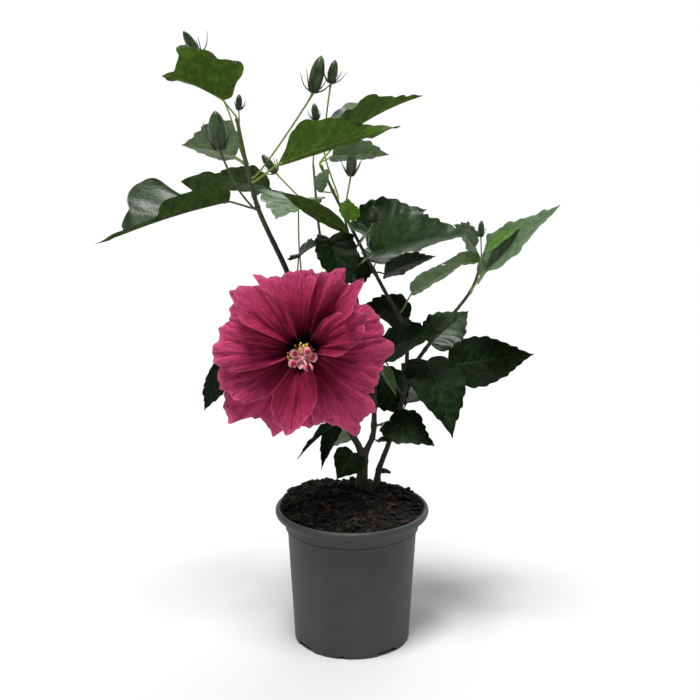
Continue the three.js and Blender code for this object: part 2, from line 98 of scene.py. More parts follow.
# Two cross directions along a path that turn with it and don't twist.
def pathFrames(path, firstAcross=(1, 0, 0)):
    tangents = unit(np.gradient(path, axis=0))
    across = np.array(firstAcross, float)
    rows = []
    for tangent in tangents:
        across = unit(across - tangent * across.dot(tangent))
        rows.append(across)
    acrosses = np.array(rows)
    return tangents, acrosses, np.cross(tangents, acrosses)


soilTop = 162
touchGap = 0.35
knuckleRadius = 2.6
stalkStandOff = 1.69
flareFade = 6

limbPlans = {
    "trunk": {"start": (11, 30, soilTop + touchGap), "steps": [(0, 88, 22), (0, 86, 26)],
              "radius": (6.2, 5.4), "flare": 3.2},
    "left_stem_lower": {"start": (9.4, 28.5, 211.5),
                        "steps": [(-146, 59, 26), (-165, 62, 56), (180, 72, 104)],
                        "radius": (3.5, 3.3)},
    "left_stem_upper": {"from": "left_stem_lower", "radius": (3.2, 1.9),
                        "steps": [(163, 72, 32), (173, 66, 78), (180, 76, 46), (180, 79, 50)]},
    "middle_stem": {"start": (17.2, 30.6, 211.5), "radius": (3, 2.6),
                    "steps": [(-24, 66, 16), (-40, 84, 18), (160, 89, 68), (-162, 84, 15)]},
    "centre_stem": {"from": "middle_stem", "radius": (2.5, 1.4),
                    "steps": [(-156, 70, 43), (-149, 79, 40), (-137, 86, 48)]},
    "right_stem": {"start": (27.5, 36, soilTop + touchGap), "radius": (2.8, 2.5), "flare": 1.6,
                   "steps": [(0, 82, 22), (0, 71, 30), (-9, 73, 52), (-15, 83, 28)]},
    "long_shoot": {"from": "right_stem", "radius": (2.4, 1.5),
                   "steps": [(-20, 85, 26), (-150, 84, 34), (-170, 62, 50), (-166, 62, 62),
                             (-165, 63, 60), (180, 65, 30)]},
    "right_shoot": {"start": (65.5, 32, 304), "steps": [(-4, 55, 54), (-6, 54, 58), (-13, 72, 28)],
                    "radius": (2.3, 1.5)},
    "thin_shoot": {"start": (4, 19, 358), "steps": [(-170, 63, 65), (165, 77, 44), (180, 85, 72)],
                   "radius": (1.6, 1.2)},
}

limbPaths = {}
for limbName, plan in limbPlans.items():
    start = plan.get("start")
    if "from" in plan:
        parent = limbPaths[plan["from"]]
        start = parent[-1] + pathTangent(parent, 1) * touchGap
    limbPaths[limbName] = smoothPath(grow(start, plan["steps"]))


def limbRadius(limb, place):
    base, tip = limbPlans[limb]["radius"]
    return base + (tip - base) * place


# Where something begins on a limb: the limb's own axis there, and the point just off its bark.
def footOn(limb, place, heading, rise, radius):
    path = limbPaths[limb]
    centre = pathAt(path, place)
    tangent = pathTangent(path, place)
    if place == 1:
        return centre, centre + tangent * (radius + touchGap)
    out = direction(heading, rise)
    out = unit(out - tangent * out.dot(tangent))
    return centre, centre + out * (limbRadius(limb, place) + radius + touchGap)


# Half outlines of a blade from its stalk to its tip: (share of the length, share of the half width).
bladeShapes = {
    "broad": [(0, 0), (-0.045, 0.22), (-0.04, 0.55), (0.07, 0.88), (0.25, 1.0), (0.45, 0.9),
              (0.63, 0.62), (0.79, 0.3), (0.9, 0.11), (1, 0)],
    "ovate": [(0, 0), (-0.02, 0.2), (0.0, 0.5), (0.1, 0.82), (0.27, 1.0), (0.46, 0.93), (0.65, 0.66),
              (0.81, 0.33), (0.92, 0.11), (1, 0)],
    "narrow": [(0, 0), (0.02, 0.3), (0.1, 0.65), (0.25, 0.95), (0.42, 1.0), (0.62, 0.8), (0.8, 0.44),
               (0.92, 0.16), (1, 0)],
    "spiked": [(0, 0), (-0.02, 0.3), (0.03, 0.65), (0.12, 0.98), (0.2, 1.0), (0.31, 0.97),
               (0.24, 0.86), (0.225, 0.62), (0.26, 0.56), (0.35, 0.58), (0.43, 0.6), (0.49, 0.4),
               (0.54, 0.16), (0.7, 0.12), (1, 0)],
    "lobed": [(0, 0), (-0.02, 0.15), (0.05, 0.35), (0.2, 0.4), (0.31, 0.42), (0.36, 0.6),
              (0.41, 0.84), (0.5, 1.0), (0.62, 0.88), (0.68, 0.56), (0.75, 0.39), (0.79, 0.19),
              (0.88, 0.08), (1, 0)],
    "cornered": [(0, 0), (-0.08, 0.2), (-0.02, 0.6), (-0.02, 1.0), (0.14, 1.04), (0.33, 0.94),
                 (0.58, 0.95), (0.8, 0.78), (0.8, 0.4), (0.8, 0.14), (0.92, 0.07), (1, 0)],
    "wedge": [(0, 0), (0.02, 0.06), (0.14, 0.53), (0.25, 0.96), (0.31, 1.0), (0.45, 0.78),
              (0.57, 0.7), (0.66, 0.46), (0.74, 0.24), (0.85, 0.24), (0.94, 0.18), (1, 0)],
    "shouldered": [(0, 0), (-0.04, 0.25), (-0.01, 0.6), (0.1, 0.9), (0.28, 1.02), (0.44, 1.0),
                   (0.56, 0.74), (0.68, 0.5), (0.82, 0.24), (0.93, 0.1), (1, 0)],
}


# The rows of one half of a blade's margin, toothed. Each tooth leans towards the tip.
def halfMargin(look, length, halfWidth, rows, shape, random):
    control = np.array(bladeShapes[shape]) * (length, halfWidth)
    curve = smoothPath(np.column_stack([control, np.zeros(len(control))]), rows)[:, :2]
    smooth = curve.copy()
    places = np.linspace(0, 1, rows)
    forward = unit(np.gradient(curve, axis=0))
    outward = np.column_stack([-forward[:, 1], forward[:, 0]])
    count = look["teeth"]
    spacing = np.cumsum(random.uniform(0.75, 1.25, count))
    phases = np.interp(np.clip((places - 0.1) / 0.86, 0, 1),
                       np.concatenate([[0], spacing / spacing[-1]]),
                       np.arange(count + 1))
    sizes = random.uniform(0.55, 1.25, count + 1)
    sizes = sizes[np.minimum(phases.astype(int), count)]
    tooth = np.sin(np.pi * np.clip(phases % 1, 0, 1) ** 1.6) * sizes
    depth = look.get("toothDepth", 0.045) * halfWidth * 2
    shown = np.clip(np.sin(np.pi * places) * 2.2, 0, 1) * depth
    curve = curve + (outward + forward * 0.45) * (tooth * shown)[:, None]
    curve[0], curve[-1] = (0, 0), (length, 0)
    return curve, smooth


# A midrib has 100 steps over the blade's length and 12 behind it, where the stalk joins.
spineRows = 100
footRow = 12
spineBehind = 0.12


# The bent midrib of a blade with its two cross directions, from just behind the stalk's end to the tip.
def bladeSpine(look, stalkEnd):
    heading, rise, length = look["blade"]
    along = direction(heading, rise)
    side = unit(np.cross(along, (0, 0, 1)))
    roll = math.radians(look["roll"])
    face = np.cross(side, along) * math.cos(roll) + side * math.sin(roll)
    across = np.cross(along, face)
    places = np.linspace(-spineBehind, 1, spineRows + footRow + 1)[:, None]
    turn = math.radians(look["droop"]) * (places - 0.5)
    turn = turn + math.radians(look.get("curl", 0)) * np.clip((places - 0.68) / 0.32, 0, 1) ** 1.4
    tangents = np.cos(turn) * along - np.sin(turn) * face
    normals = np.cos(turn) * face + np.sin(turn) * along
    twist = math.radians(look.get("twist", 0)) * np.clip(places, 0, 1) ** 1.5
    twist = twist + math.radians(look.get("tipTwist", 0)) * np.clip((places - 0.7) / 0.25, 0, 1)
    acrosses, normals = (np.cos(twist) * across + np.sin(twist) * normals,
                         np.cos(twist) * normals - np.sin(twist) * across)
    centres = np.cumsum(tangents, axis=0) * length * 0.01
    centres -= centres[footRow]
    # The whole is turned and scaled so that the tip stays where the growth puts it.
    reached = unit(centres[-1])
    centres *= length / np.linalg.norm(centres[-1])
    axis = np.cross(reached, along)
    sine, cosine = np.linalg.norm(axis), reached.dot(along)
    if sine > 1e-6:
        axis = axis / sine

        def turned(rows):
            along = np.outer(rows @ axis, axis)
            return rows * cosine + np.cross(axis, rows) * sine + along * (1 - cosine)

        centres, acrosses, normals = turned(centres), turned(acrosses), turned(normals)
    return centres + stalkEnd, acrosses, normals


# A blade as a function that lays flat places (x along, y across, lift off the face) in space.
def bladeLayer(look, stalkEnd, random):
    length, halfWidth = look["blade"][2], look["width"] / 2
    centres, acrosses, normals = bladeSpine(look, stalkEnd)
    folds = look["fold"] if isinstance(look["fold"], tuple) else (look["fold"], look["fold"])
    cups = look.get("cup", (0, 0))
    phases = random.uniform(0, 2 * math.pi, (2, 3))
    ruffle = look.get("ruffle", 0.06) * halfWidth

    def lay(x, y, lift=0.0):
        x, y, lift = np.broadcast_arrays(np.asarray(x, float), np.asarray(y, float),
                                         np.asarray(lift, float))
        at = np.clip((x / length + spineBehind) * spineRows, 0, spineRows + footRow - 0.001)
        low = at.astype(int)
        share = (at - low)[..., None]
        centre = centres[low] * (1 - share) + centres[low + 1] * share
        across = acrosses[low] * (1 - share) + acrosses[low + 1] * share
        normal = normals[low] * (1 - share) + normals[low + 1] * share
        right = (y >= 0)
        sign = np.where(right, 1.0, -1.0)
        out = np.abs(y) / halfWidth
        fade = 0.35 + 0.65 * np.clip(1.25 - x / length, 0, 1)
        fold = np.radians(np.where(right, folds[0], folds[1])) * fade
        cup = np.radians(np.where(right, cups[0], cups[1])) * out
        middle = fold + cup / 2
        place = x / length
        wave = np.zeros_like(place)
        for k, rate in enumerate((1.6, 3.1, 5.3)):
            phase = np.where(right, phases[0][k], phases[1][k])
            wave = wave + np.sin(2 * math.pi * rate * place + phase) / (1 + k)
        raised = np.abs(y) * np.sin(middle) + ruffle * out ** 2 * wave
        level = np.abs(y) * np.cos(middle)
        tilt = fold + cup
        up = normal * np.cos(tilt)[..., None] - across * (sign * np.sin(tilt))[..., None]
        spot = centre + across * (sign * level)[..., None] + normal * raised[..., None]
        return spot + up * lift[..., None]

    return lay


def gridFaces(rows, columns, flip=False, closed=False):
    index = np.arange(rows * columns).reshape(rows, columns)
    if closed:
        index = np.concatenate([index, index[:, :1]], axis=1)
    corners = [index[:-1, :-1], index[1:, :-1], index[1:, 1:], index[:-1, 1:]]
    faces = np.stack(corners, -1).reshape(-1, 4)
    return faces[:, ::-1] if flip else faces


bladeRows = 61
bladeColumns = 9
bladeThickness = 0.22
veinPlaces = (0.1, 0.21, 0.34, 0.47, 0.6, 0.72, 0.83)


# Side veins leave the midrib at the blade's foot and run forward, so the rows of the grid do too.
def midribPlace(places, length):
    return length * (0.012 * places + 0.988 * np.clip((places - 0.2) / 0.8, 0, 1) ** 1.7)


# A blade as [(kind, vertices, faces)] with its upper sheet, its underside and the ribs on both.
def bladeSheets(look, stalkEnd, seed):
    random = np.random.default_rng(seed)
    length, halfWidth = look["blade"][2], look["width"] / 2
    lay = bladeLayer(look, stalkEnd, random)
    shapes = look["shape"]
    shapes = shapes if isinstance(shapes, tuple) else (shapes, shapes)
    halves = dict(zip((1, -1), look.get("halves", (1, 1))))
    places = np.linspace(0, 1, bladeRows)
    out = np.linspace(0, 1, bladeColumns) ** 0.9
    sheets = []
    relief = look.get("relief", 0.009) * halfWidth * 2
    for sign, shape in ((1, shapes[0]), (-1, shapes[1])):
        margin, smooth = halfMargin(look, length, halfWidth * halves[sign], bladeRows, shape, random)
        veins = np.array(veinPlaces) + random.uniform(-0.025, 0.025, len(veinPlaces))
        valley = np.exp(-((places[:, None] - veins) / 0.032) ** 2).max(axis=1)
        ribs = midribPlace(places, length)
        x = ribs[:, None] * (1 - out) + margin[:, :1] * out
        y = margin[:, 1:] * out * sign
        x = np.minimum(x + 0.03 * length * np.sin(np.pi * out) * (places[:, None] > 0.1), length)
        quilt = relief * (0.5 - valley[:, None]) * np.sin(np.pi * np.clip(out * 0.92 + 0.06, 0, 1))
        edge = 1 - out ** 6
        upper = lay(x, y, quilt + bladeThickness * edge)
        under = lay(x, y, quilt - bladeThickness * edge)
        faces = gridFaces(bladeRows, bladeColumns, flip=sign > 0)
        sheets.append(("upper", upper.reshape(-1, 3), faces))
        sheets.append(("under", under.reshape(-1, 3), faces[:, ::-1]))
        for place in veins:
            start = midribPlace(np.array([place]), length)[0]
            end = np.array([np.interp(place, places, smooth[:, k]) for k in range(2)])
            share = np.linspace(0, 0.93, 10)
            vx = start * (1 - share) + end[0] * share + 0.03 * length * np.sin(np.pi * share)
            vy = end[1] * share * sign
            sheets += ribStrips(lay, vx, vy, 0.22 * (1 - share) + 0.07,
                                relief * -0.5 * np.sin(np.pi * share * 0.92))
    share = np.linspace(-0.01, 0.97, 26)
    sheets += ribStrips(lay, share * length, np.zeros(26), 0.5 * (1 - share) + 0.12, np.zeros(26))
    return sheets


# A raised rib on both faces of a blade along a line of flat places.
def ribStrips(lay, x, y, widths, lifts):
    steps = np.column_stack([np.gradient(x), np.gradient(y)])
    steps = unit(steps)
    sideX, sideY = -steps[:, 1] * widths, steps[:, 0] * widths
    strips = []
    for kind, face in (("upperRib", 1), ("underRib", -1)):
        wide = 0.8 if face > 0 else 1.25
        height = (0.1 if face > 0 else 0.55) * widths
        rows = [lay(x + sideX * wide, y + sideY * wide, lifts + face * bladeThickness),
                lay(x, y, lifts + face * (bladeThickness + height + 0.06)),
                lay(x - sideX * wide, y - sideY * wide, lifts + face * bladeThickness)]
        vertices = np.stack(rows, 1).reshape(-1, 3)
        strips.append((kind, vertices, gridFaces(len(x), 3, flip=face < 0)))
    return strips


# One leaf. stalk and blade are steps of growth; roll turns the blade about its own length; fold raises
# its halves; droop bends it down; tint names the colours of its upper side and its underside. Some of
# these colours are painted light: the darkest green and the near-black underside paint shade, the pale
# grey-green upper side paints a reflection and the bright underside paints light shining through.
def leaf(stalk, blade, width, roll, fold, droop, shape, teeth, tint, **more):
    return {"stalk": stalk, "blade": blade, "width": width, "roll": roll, "fold": fold, "droop": droop,
            "shape": shape, "teeth": teeth, "tint": tint, **more}


def mass(limb, at, *leaves):
    return {"limb": limb, "at": at, "leaves": leaves}


# Each mass is one leaf or a small spray from one place on a limb.
foliagePlans = {
    "far_left_leaf": mass(
        "left_stem_upper", 0.54,
        leaf((-151, 17, 30), (-163, -15, 146), 104, 4, (46, 72), 12, ("lobed", "spiked"), 6,
             ("green", "olive"), cup=(26, 0), halves=(1, 0.72), toothDepth=0.03, curl=-6, tipTwist=-60)),
    "top_left_leaf": mass(
        "left_stem_upper", 1,
        leaf((-163, 52, 22), (-163, 22, 68), 84, 50, (60, 24), 24, ("ovate", "cornered"), 5,
             ("sheen", "lit"), halves=(0.62, 0.94), toothDepth=0.03, curl=30, tipTwist=-50)),
    "upper_left_leaf": mass(
        "left_stem_upper", 0.77,
        leaf((148, 34, 13), (156, 8, 66), 66, 54, 32, 16, "broad", 7, ("green", "grey"))),
    "left_back_leaf": mass(
        "left_stem_upper", 0.6,
        leaf((50, 18, 20), (163, 2, 78), 44, 50, 16, 16, "ovate", 7, ("deep", "olive"))),
    "hanging_leaf": mass(
        "left_stem_upper", 0.03,
        leaf((100, 84, 104), (-114, -16, 54), 68, -6, 12, 40, "broad", 6, ("sheen", "grey"))),
    "small_left_leaf": mass(
        "left_stem_upper", 0.08,
        leaf((-60, 80, 34), (-50, 28, 38), 34, 30, 24, 16, "broad", 6, ("green", "olive"))),
    "upper_middle_leaf": mass(
        "left_stem_upper", 0.67,
        leaf((-42, 30, 42), (-28, 18, 148), 74, -50, 36, 14, ("wedge", "ovate"), 6, ("deep", "lit"),
             halves=(0.86, 0.36), toothDepth=0.03, tipTwist=130)),
    "upper_right_leaves": mass(
        "long_shoot", 1,
        leaf((33, 44, 32), (20, 25, 106), 60, -24, (34, 76), 22, "shouldered", 7, ("sheen", "lit"),
             halves=(1, 0.9), tipTwist=20),
        leaf((10, 30, 16), (24, -2, 66), 38, -44, 16, 14, "ovate", 6, ("sheen", "grey"))),
    "young_leaves": mass(
        "long_shoot", 0.77,
        leaf((-62, -60, 16), (-142, 30, 100), 19, 62, 26, 24, "narrow", 5, ("fresh", "olive"),
             toothDepth=0.03),
        leaf((-66, 0, 8), (-88, 56, 30), 24, -20, 24, 10, "broad", 6, ("fresh", "fresh")),
        leaf((-36, -50, 10), (10, -24, 28), 20, 30, 16, 10, "ovate", 5, ("green", "grey"))),
    "small_folded_leaf": mass(
        "long_shoot", 0.89,
        leaf((-140, 8, 16), (-10, 66, 27), 18, 60, 20, 12, "narrow", 4, ("sheen", "grey"))),
    "dark_middle_leaf": mass(
        "thin_shoot", 0.56,
        leaf((-40, 10, 9), (-62, -58, 66), 50, 4, 24, 14, "broad", 8, ("deep", "dark"))),
    "dark_centre_leaf": mass(
        "centre_stem", 0.8,
        leaf((80, 0, 14), (80, -62, 44), 34, 170, 14, 12, "ovate", 6, ("deep", "dark"))),
    "glossy_back_leaf": mass(
        "centre_stem", 0.88,
        leaf((62, 28, 32), (14, 18, 72), 62, 48, 12, 16, "broad", 7, ("green", "olive"))),
    "glossy_right_leaf": mass(
        "centre_stem", 0.75,
        leaf((-31, 38, 26), (-24, 14, 116), 74, 30, 22, 22, "shouldered", 8, ("green", "olive"))),
    "inner_right_leaf": mass(
        "long_shoot", 0.5,
        leaf((-20, -8, 8), (-23, 22, 62), 34, 34, 14, 14, "ovate", 7, ("green", "olive"))),
    "pale_right_leaf": mass(
        "long_shoot", 0.3,
        leaf((20, 58, 24), (13, 27, 66), 34, -50, 14, 12, "ovate", 7, ("green", "grey"))),
    "right_tip_leaves": mass(
        "right_shoot", 1,
        leaf((-120, 20, 8), (-156, 0, 46), 24, 50, 18, 16, "ovate", 5, ("fresh", "grey")),
        leaf((110, 40, 22), (135, 34, 38), 46, 60, 8, 12, "broad", 6, ("sheen", "grey")),
        leaf((-84, 36, 26), (-10, 38, 46), 19, 30, 16, 12, "narrow", 6, ("fresh", "fresh"))),
    "far_right_leaf": mass(
        "right_shoot", 0.77,
        leaf((-46, 54, 25), (-25, 44, 118), 54, 46, (26, 10), 18, ("shouldered", "ovate"), 9,
             ("sheen", "grey"), curl=-10, ruffle=0.14)),
    "dark_crossing_leaf": mass(
        "long_shoot", 0.2,
        leaf((80, 50, 18), (164, 14, 54), 54, 56, 10, 14, "ovate", 6, ("deep", "dark"))),
    "dark_inner_leaf": mass(
        "right_stem", 0.9,
        leaf((-128, 56, 64), (-34, 24, 82), 54, 40, 12, 16, "broad", 7, ("deep", "dark"))),
    "grey_right_leaf": mass(
        "right_shoot", 0.19,
        leaf((60, 20, 12), (36, 28, 62), 46, 42, 8, 12, "ovate", 7, ("green", "grey"))),
    "big_dark_leaf": mass(
        "right_stem", 0.98,
        leaf((-58, 42, 52), (-66, -49, 92), 62, 2, 4, 26, "broad", 7, ("deep", "dark"),
             toothDepth=0.03, curl=10)),
    "flat_right_leaf": mass(
        "right_stem", 0.94,
        leaf((-8, 30, 54), (0, 8, 92), 56, 60, 2, 6, "ovate", 9, ("deep", "dark"), toothDepth=0.03,
             ruffle=0.02, relief=0.004)),
    "low_dark_leaf": mass(
        "middle_stem", 0.58,
        leaf((84, 44, 26), (40, -58, 68), 58, 132, 4, 14, "ovate", 7, ("deep", "dark"))),
    "small_green_leaf": mass(
        "middle_stem", 0.66,
        leaf((-80, 52, 36), (-52, -44, 40), 24, -20, 16, 14, "ovate", 6, ("fresh", "olive"))),
    "low_right_leaf": mass(
        "middle_stem", 0.27,
        leaf((-52, 24, 24), (-40, -14, 64), 42, 36, 10, 16, "shouldered", 7, ("deep", "dark"))),
    "low_back_right_leaf": mass(
        "middle_stem", 0.24,
        leaf((40, -6, 18), (23, -26, 44), 24, -44, 10, 12, "ovate", 5, ("green", "grey"))),
    "low_left_leaf": mass(
        "left_stem_lower", 0.24,
        leaf((-120, 0, 18), (-148, -34, 54), 38, 40, 16, 14, "ovate", 6, ("deep", "dark"))),
    "low_left_twisted_leaf": mass(
        "left_stem_lower", 0.2,
        leaf((130, -20, 8), (165, -70, 58), 26, 40, 16, 14, "ovate", 6, ("deep", "dark"), twist=30)),
    "grey_low_leaf": mass(
        "left_stem_lower", 0.1,
        leaf((70, -6, 20), (145, -30, 56), 26, -40, 10, 12, "ovate", 6, ("sheen", "grey"))),
    "foot_left_leaf": mass(
        "trunk", 0.92,
        leaf((-150, 10, 6), (-128, -36, 38), 36, -40, 6, 16, "broad", 5, ("deep", "dark"),
             toothDepth=0.02)),
    "foot_back_leaf": mass(
        "trunk", 0.7,
        leaf((118, 10, 10), (125, -48, 32), 22, 160, 10, 10, "ovate", 5, ("deep", "dark"))),
    "foot_right_leaf": mass(
        "right_stem", 0.16,
        leaf((80, -10, 8), (50, -32, 22), 16, 160, 10, 10, "ovate", 5, ("deep", "dark"))),
    "behind_bloom_leaf": mass(
        "left_stem_lower", 0.74,
        leaf((164, -12, 98), (150, -66, 72), 34, -150, 16, 12, "ovate", 7, ("deep", "dark"))),
    "back_leaf_low_left": mass(
        "left_stem_lower", 0.3,
        leaf((96, 20, 26), (100, -12, 82), 56, 10, 14, 30, "broad", 8, ("green", "olive"))),
    "back_leaf_left": mass(
        "left_stem_lower", 0.5,
        leaf((130, 22, 28), (122, -6, 76), 56, -12, 14, 26, "broad", 8, ("green", "olive"))),
    "back_leaf_middle": mass(
        "left_stem_lower", 0.86,
        leaf((84, 14, 24), (80, -10, 84), 60, 8, 14, 28, "broad", 8, ("green", "olive"))),
    "back_leaf_centre": mass(
        "centre_stem", 0.12,
        leaf((112, 10, 24), (108, -12, 82), 56, -8, 14, 28, "broad", 8, ("green", "olive"))),
    "back_leaf_low": mass(
        "middle_stem", 0.42,
        leaf((130, 4, 22), (112, -18, 78), 54, 8, 14, 24, "broad", 8, ("green", "olive"))),
    "back_leaf_right": mass(
        "right_stem", 0.66,
        leaf((62, 28, 24), (56, -2, 74), 50, -8, 14, 24, "broad", 8, ("deep", "dark"))),
    "back_leaf_upper": mass(
        "long_shoot", 0.52,
        leaf((80, 12, 14), (66, 4, 62), 44, 10, 14, 20, "broad", 8, ("green", "olive"))),
}

# Small leaves at the foot of the stems, which have no solid of their own.
footLeaves = {
    "foot_tuft": mass(
        "middle_stem", 0.13,
        leaf((-60, 4, 6), (-36, 8, 28), 15, 10, 12, 14, "ovate", 5, ("deep", "dark"))),
    "foot_front": mass(
        "right_stem", 0.07,
        leaf((-118, 12, 9), (-98, -28, 17), 15, 0, 12, 14, "ovate", 5, ("deep", "dark"))),
}

budPlans = {
    "bud_top_left": {"limb": "left_stem_upper", "at": 0.79, "steps": [(140, 66, 58), (176, 62, 60)],
                     "bud": (-160, 58, 31), "radius": 5.2},
    "bud_dark_left": {"limb": "left_stem_upper", "at": 0.53, "steps": [(-138, 46, 34), (-165, 66, 44)],
                      "bud": (-113, 78, 42), "radius": 9.5},
    "bud_upper_middle": {"limb": "left_stem_upper", "at": 0.69, "steps": [(8, 54, 108)],
                         "bud": (25, 75, 40), "radius": 7.6},
    "bud_top_middle": {"limb": "long_shoot", "at": 0.85,
                       "steps": [(150, 70, 50), (40, 86, 34), (40, 80, 38)],
                       "bud": (32, 77, 25), "radius": 5.2},
    "bud_inner": {"limb": "long_shoot", "at": 0.81, "steps": [(-70, 46, 10), (-30, 78, 28)],
                  "bud": (-68, 78, 28), "radius": 5.6},
    "bud_stem_top": {"limb": "left_stem_upper", "at": 0.97, "steps": [(95, 60, 16)],
                     "bud": (83, 78, 17), "radius": 3.6},
    "bud_thin_shoot": {"limb": "thin_shoot", "at": 0.74, "steps": [(172, 43, 55)],
                       "bud": (158, 49, 25), "radius": 4.6},
    "bud_thin_top": {"limb": "thin_shoot", "at": 1, "steps": [(41, 84, 44)],
                     "bud": (136, 80, 18), "radius": 4},
    "bud_centre": {"limb": "centre_stem", "at": 0.9, "steps": [(-40, 50, 40)],
                   "bud": (-93, 83, 18), "radius": 3.8},
    "bud_right_tip": {"limb": "right_shoot", "at": 1, "steps": [(98, 82, 28)],
                      "bud": (83, 77, 18), "radius": 3.4},
}


# A heap gathers the corners and faces of everything that is joined into one piece.
def newHeap():
    return {"vertices": [], "faces": [], "count": 0, "values": {}}


def pour(heap, vertices, faces, **values):
    vertices = np.asarray(vertices, float).reshape(-1, 3)
    heap["vertices"].append(vertices)
    if isinstance(faces, list):
        heap["faces"].extend([i + heap["count"] for i in face] for face in faces)
    else:
        heap["faces"].extend((faces + heap["count"]).tolist())
    for key, value in values.items():
        heap["values"].setdefault(key, []).append(np.asarray(value, float))
    heap["count"] += len(vertices)


# A tube round a path, closed at both ends by a point.
def pourTube(heap, path, radii, sides=7, **values):
    path = np.asarray(path, float)
    radii = np.broadcast_to(np.asarray(radii, float), (len(path),))
    tangents, acrosses, seconds = pathFrames(path)
    turns = np.arange(sides) / sides * 2 * math.pi
    ring = (path[:, None] + radii[:, None, None] * (np.cos(turns)[None, :, None] * acrosses[:, None]
                                                    + np.sin(turns)[None, :, None] * seconds[:, None]))
    vertices = np.vstack([ring.reshape(-1, 3), path[:1] - tangents[:1] * radii[0] * 0.4,
                          path[-1:] + tangents[-1:] * radii[-1] * 0.6])
    faces = tubeFaces(len(path), sides)
    pour(heap, vertices, faces, **{key: np.concatenate([np.repeat(value, sides), [value[0], value[-1]]])
                                   for key, value in values.items()})


# Faces of a closed tube: rings of corners, then one point at its foot and one at its tip.
def tubeFaces(rings, sides):
    faces = gridFaces(rings, sides, flip=True, closed=True).tolist()
    foot, tip, last = rings * sides, rings * sides + 1, (rings - 1) * sides
    for k in range(sides):
        after = (k + 1) % sides
        faces.append([foot, after, k])
        faces.append([tip, last + k, last + after])
    return faces


def meshFrom(name, vertices, faces, smooth=True):
    mesh = bpy.data.meshes.new(name)
    mesh.from_pydata((np.asarray(vertices) * metre).tolist(), [], faces)
    mesh.polygons.foreach_set("use_smooth", np.full(len(mesh.polygons), smooth))
    mesh.update()
    return mesh


pieceCount = {}


def addPiece(name, mesh, material, nodes=()):
    piece = bpy.data.objects.new(name, mesh)
    bpy.context.scene.collection.objects.link(piece)
    mesh.materials.append(material)
    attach(piece, "root")
    if nodes:
        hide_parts(*nodes)
    pieceCount[name] = sum(len(p.vertices) - 2 for p in mesh.polygons)
    return piece


def addHeap(name, heap, material, nodes=(), smooth=True):
    mesh = meshFrom(name, np.vstack(heap["vertices"]), heap["faces"], smooth)
    for key, rows in heap["values"].items():
        values = np.concatenate(rows).astype(np.float32)
        mesh.attributes.new(key, "FLOAT", "POINT").data.foreach_set("value", values)
    return addPiece(name, mesh, material, nodes)


# Colours are written as sRGB hex, and turned linear here.
def linear(hexColour):
    parts = [int(hexColour[i:i + 2], 16) / 255 for i in (1, 3, 5)]
    return [c / 12.92 if c <= 0.04045 else ((c + 0.055) / 1.055) ** 2.4 for c in parts] + [1]


# Adds a node with its settings; an input is given a value, or a socket to be linked to.
def addNode(tree, kind, inputs=(), **settings):
    node = tree.nodes.new("ShaderNode" + kind)
    for key, value in settings.items():
        setattr(node, key, value)
    for key, value in dict(inputs).items():
        if isinstance(value, bpy.types.NodeSocket):
            tree.links.new(value, node.inputs[key])
        else:
            node.inputs[key].default_value = value
    return node


def newMaterial(name, **shader):
    material = bpy.data.materials.new(name)
    material.use_nodes = True
    tree = material.node_tree
    shaderNode = tree.nodes["Principled BSDF"]
    for key, value in shader.items():
        shaderNode.inputs[key].default_value = value
    return material, tree, shaderNode


def ramp(tree, factor, stops):
    node = addNode(tree, "ValToRGB", {"Fac": factor})
    elements = node.color_ramp.elements
    while len(elements) < len(stops):
        elements.new(0.5)
    for element, (place, colour) in zip(elements, stops):
        element.position = place
        element.color = linear(colour) if isinstance(colour, str) else (colour, colour, colour, 1)
    return node.outputs["Color"]


# The noise scale that draws a pattern of this real width in millimetres.
def patternScale(width):
    return 1 / (width * metre)


def addNoise(tree, place, scale, detail, **more):
    inputs = {"Vector": place, "Scale": scale, "Detail": detail, **more}
    return addNode(tree, "TexNoise", inputs).outputs["Fac"]


def addMath(tree, operation, first, second):
    return addNode(tree, "Math", {0: first, 1: second}, operation=operation).outputs[0]


def addRelief(tree, shader, height, strength, distance):
    bump = addNode(tree, "Bump", {"Height": height, "Strength": strength, "Distance": distance})
    tree.links.new(bump.outputs["Normal"], shader.inputs["Normal"])


# Roughness that runs from low to high as the value runs from 0 to 1.
def addRoughness(tree, shader, value, low, high):
    node = addNode(tree, "MapRange", {"Value": value, "To Min": low, "To Max": high})
    tree.links.new(node.outputs["Result"], shader.inputs["Roughness"])


# Leaf: living blade with a waxy, unevenly glossy skin, dimpled by the cells between its finest veins.
def leafMaterial(name, colours, roughness, bump, gloss=0.3):
    material, tree, shader = newMaterial(name, **{"IOR": 1.45, "Specular IOR Level": gloss})
    place = addNode(tree, "TexCoord").outputs["Object"]
    cells = addNode(tree, "TexVoronoi", {"Vector": place, "Scale": patternScale(3.0)},
                    feature="SMOOTH_F1")
    patches = addNoise(tree, place, patternScale(7), 5.0)
    shades = ramp(tree, patches, list(zip((0.38, 0.5, 0.64), colours)))
    tree.links.new(shades, shader.inputs["Base Color"])
    addRoughness(tree, shader, patches, roughness - 0.08, roughness + 0.1)
    addRelief(tree, shader, cells.outputs["Distance"], bump, 0.0005)
    return material


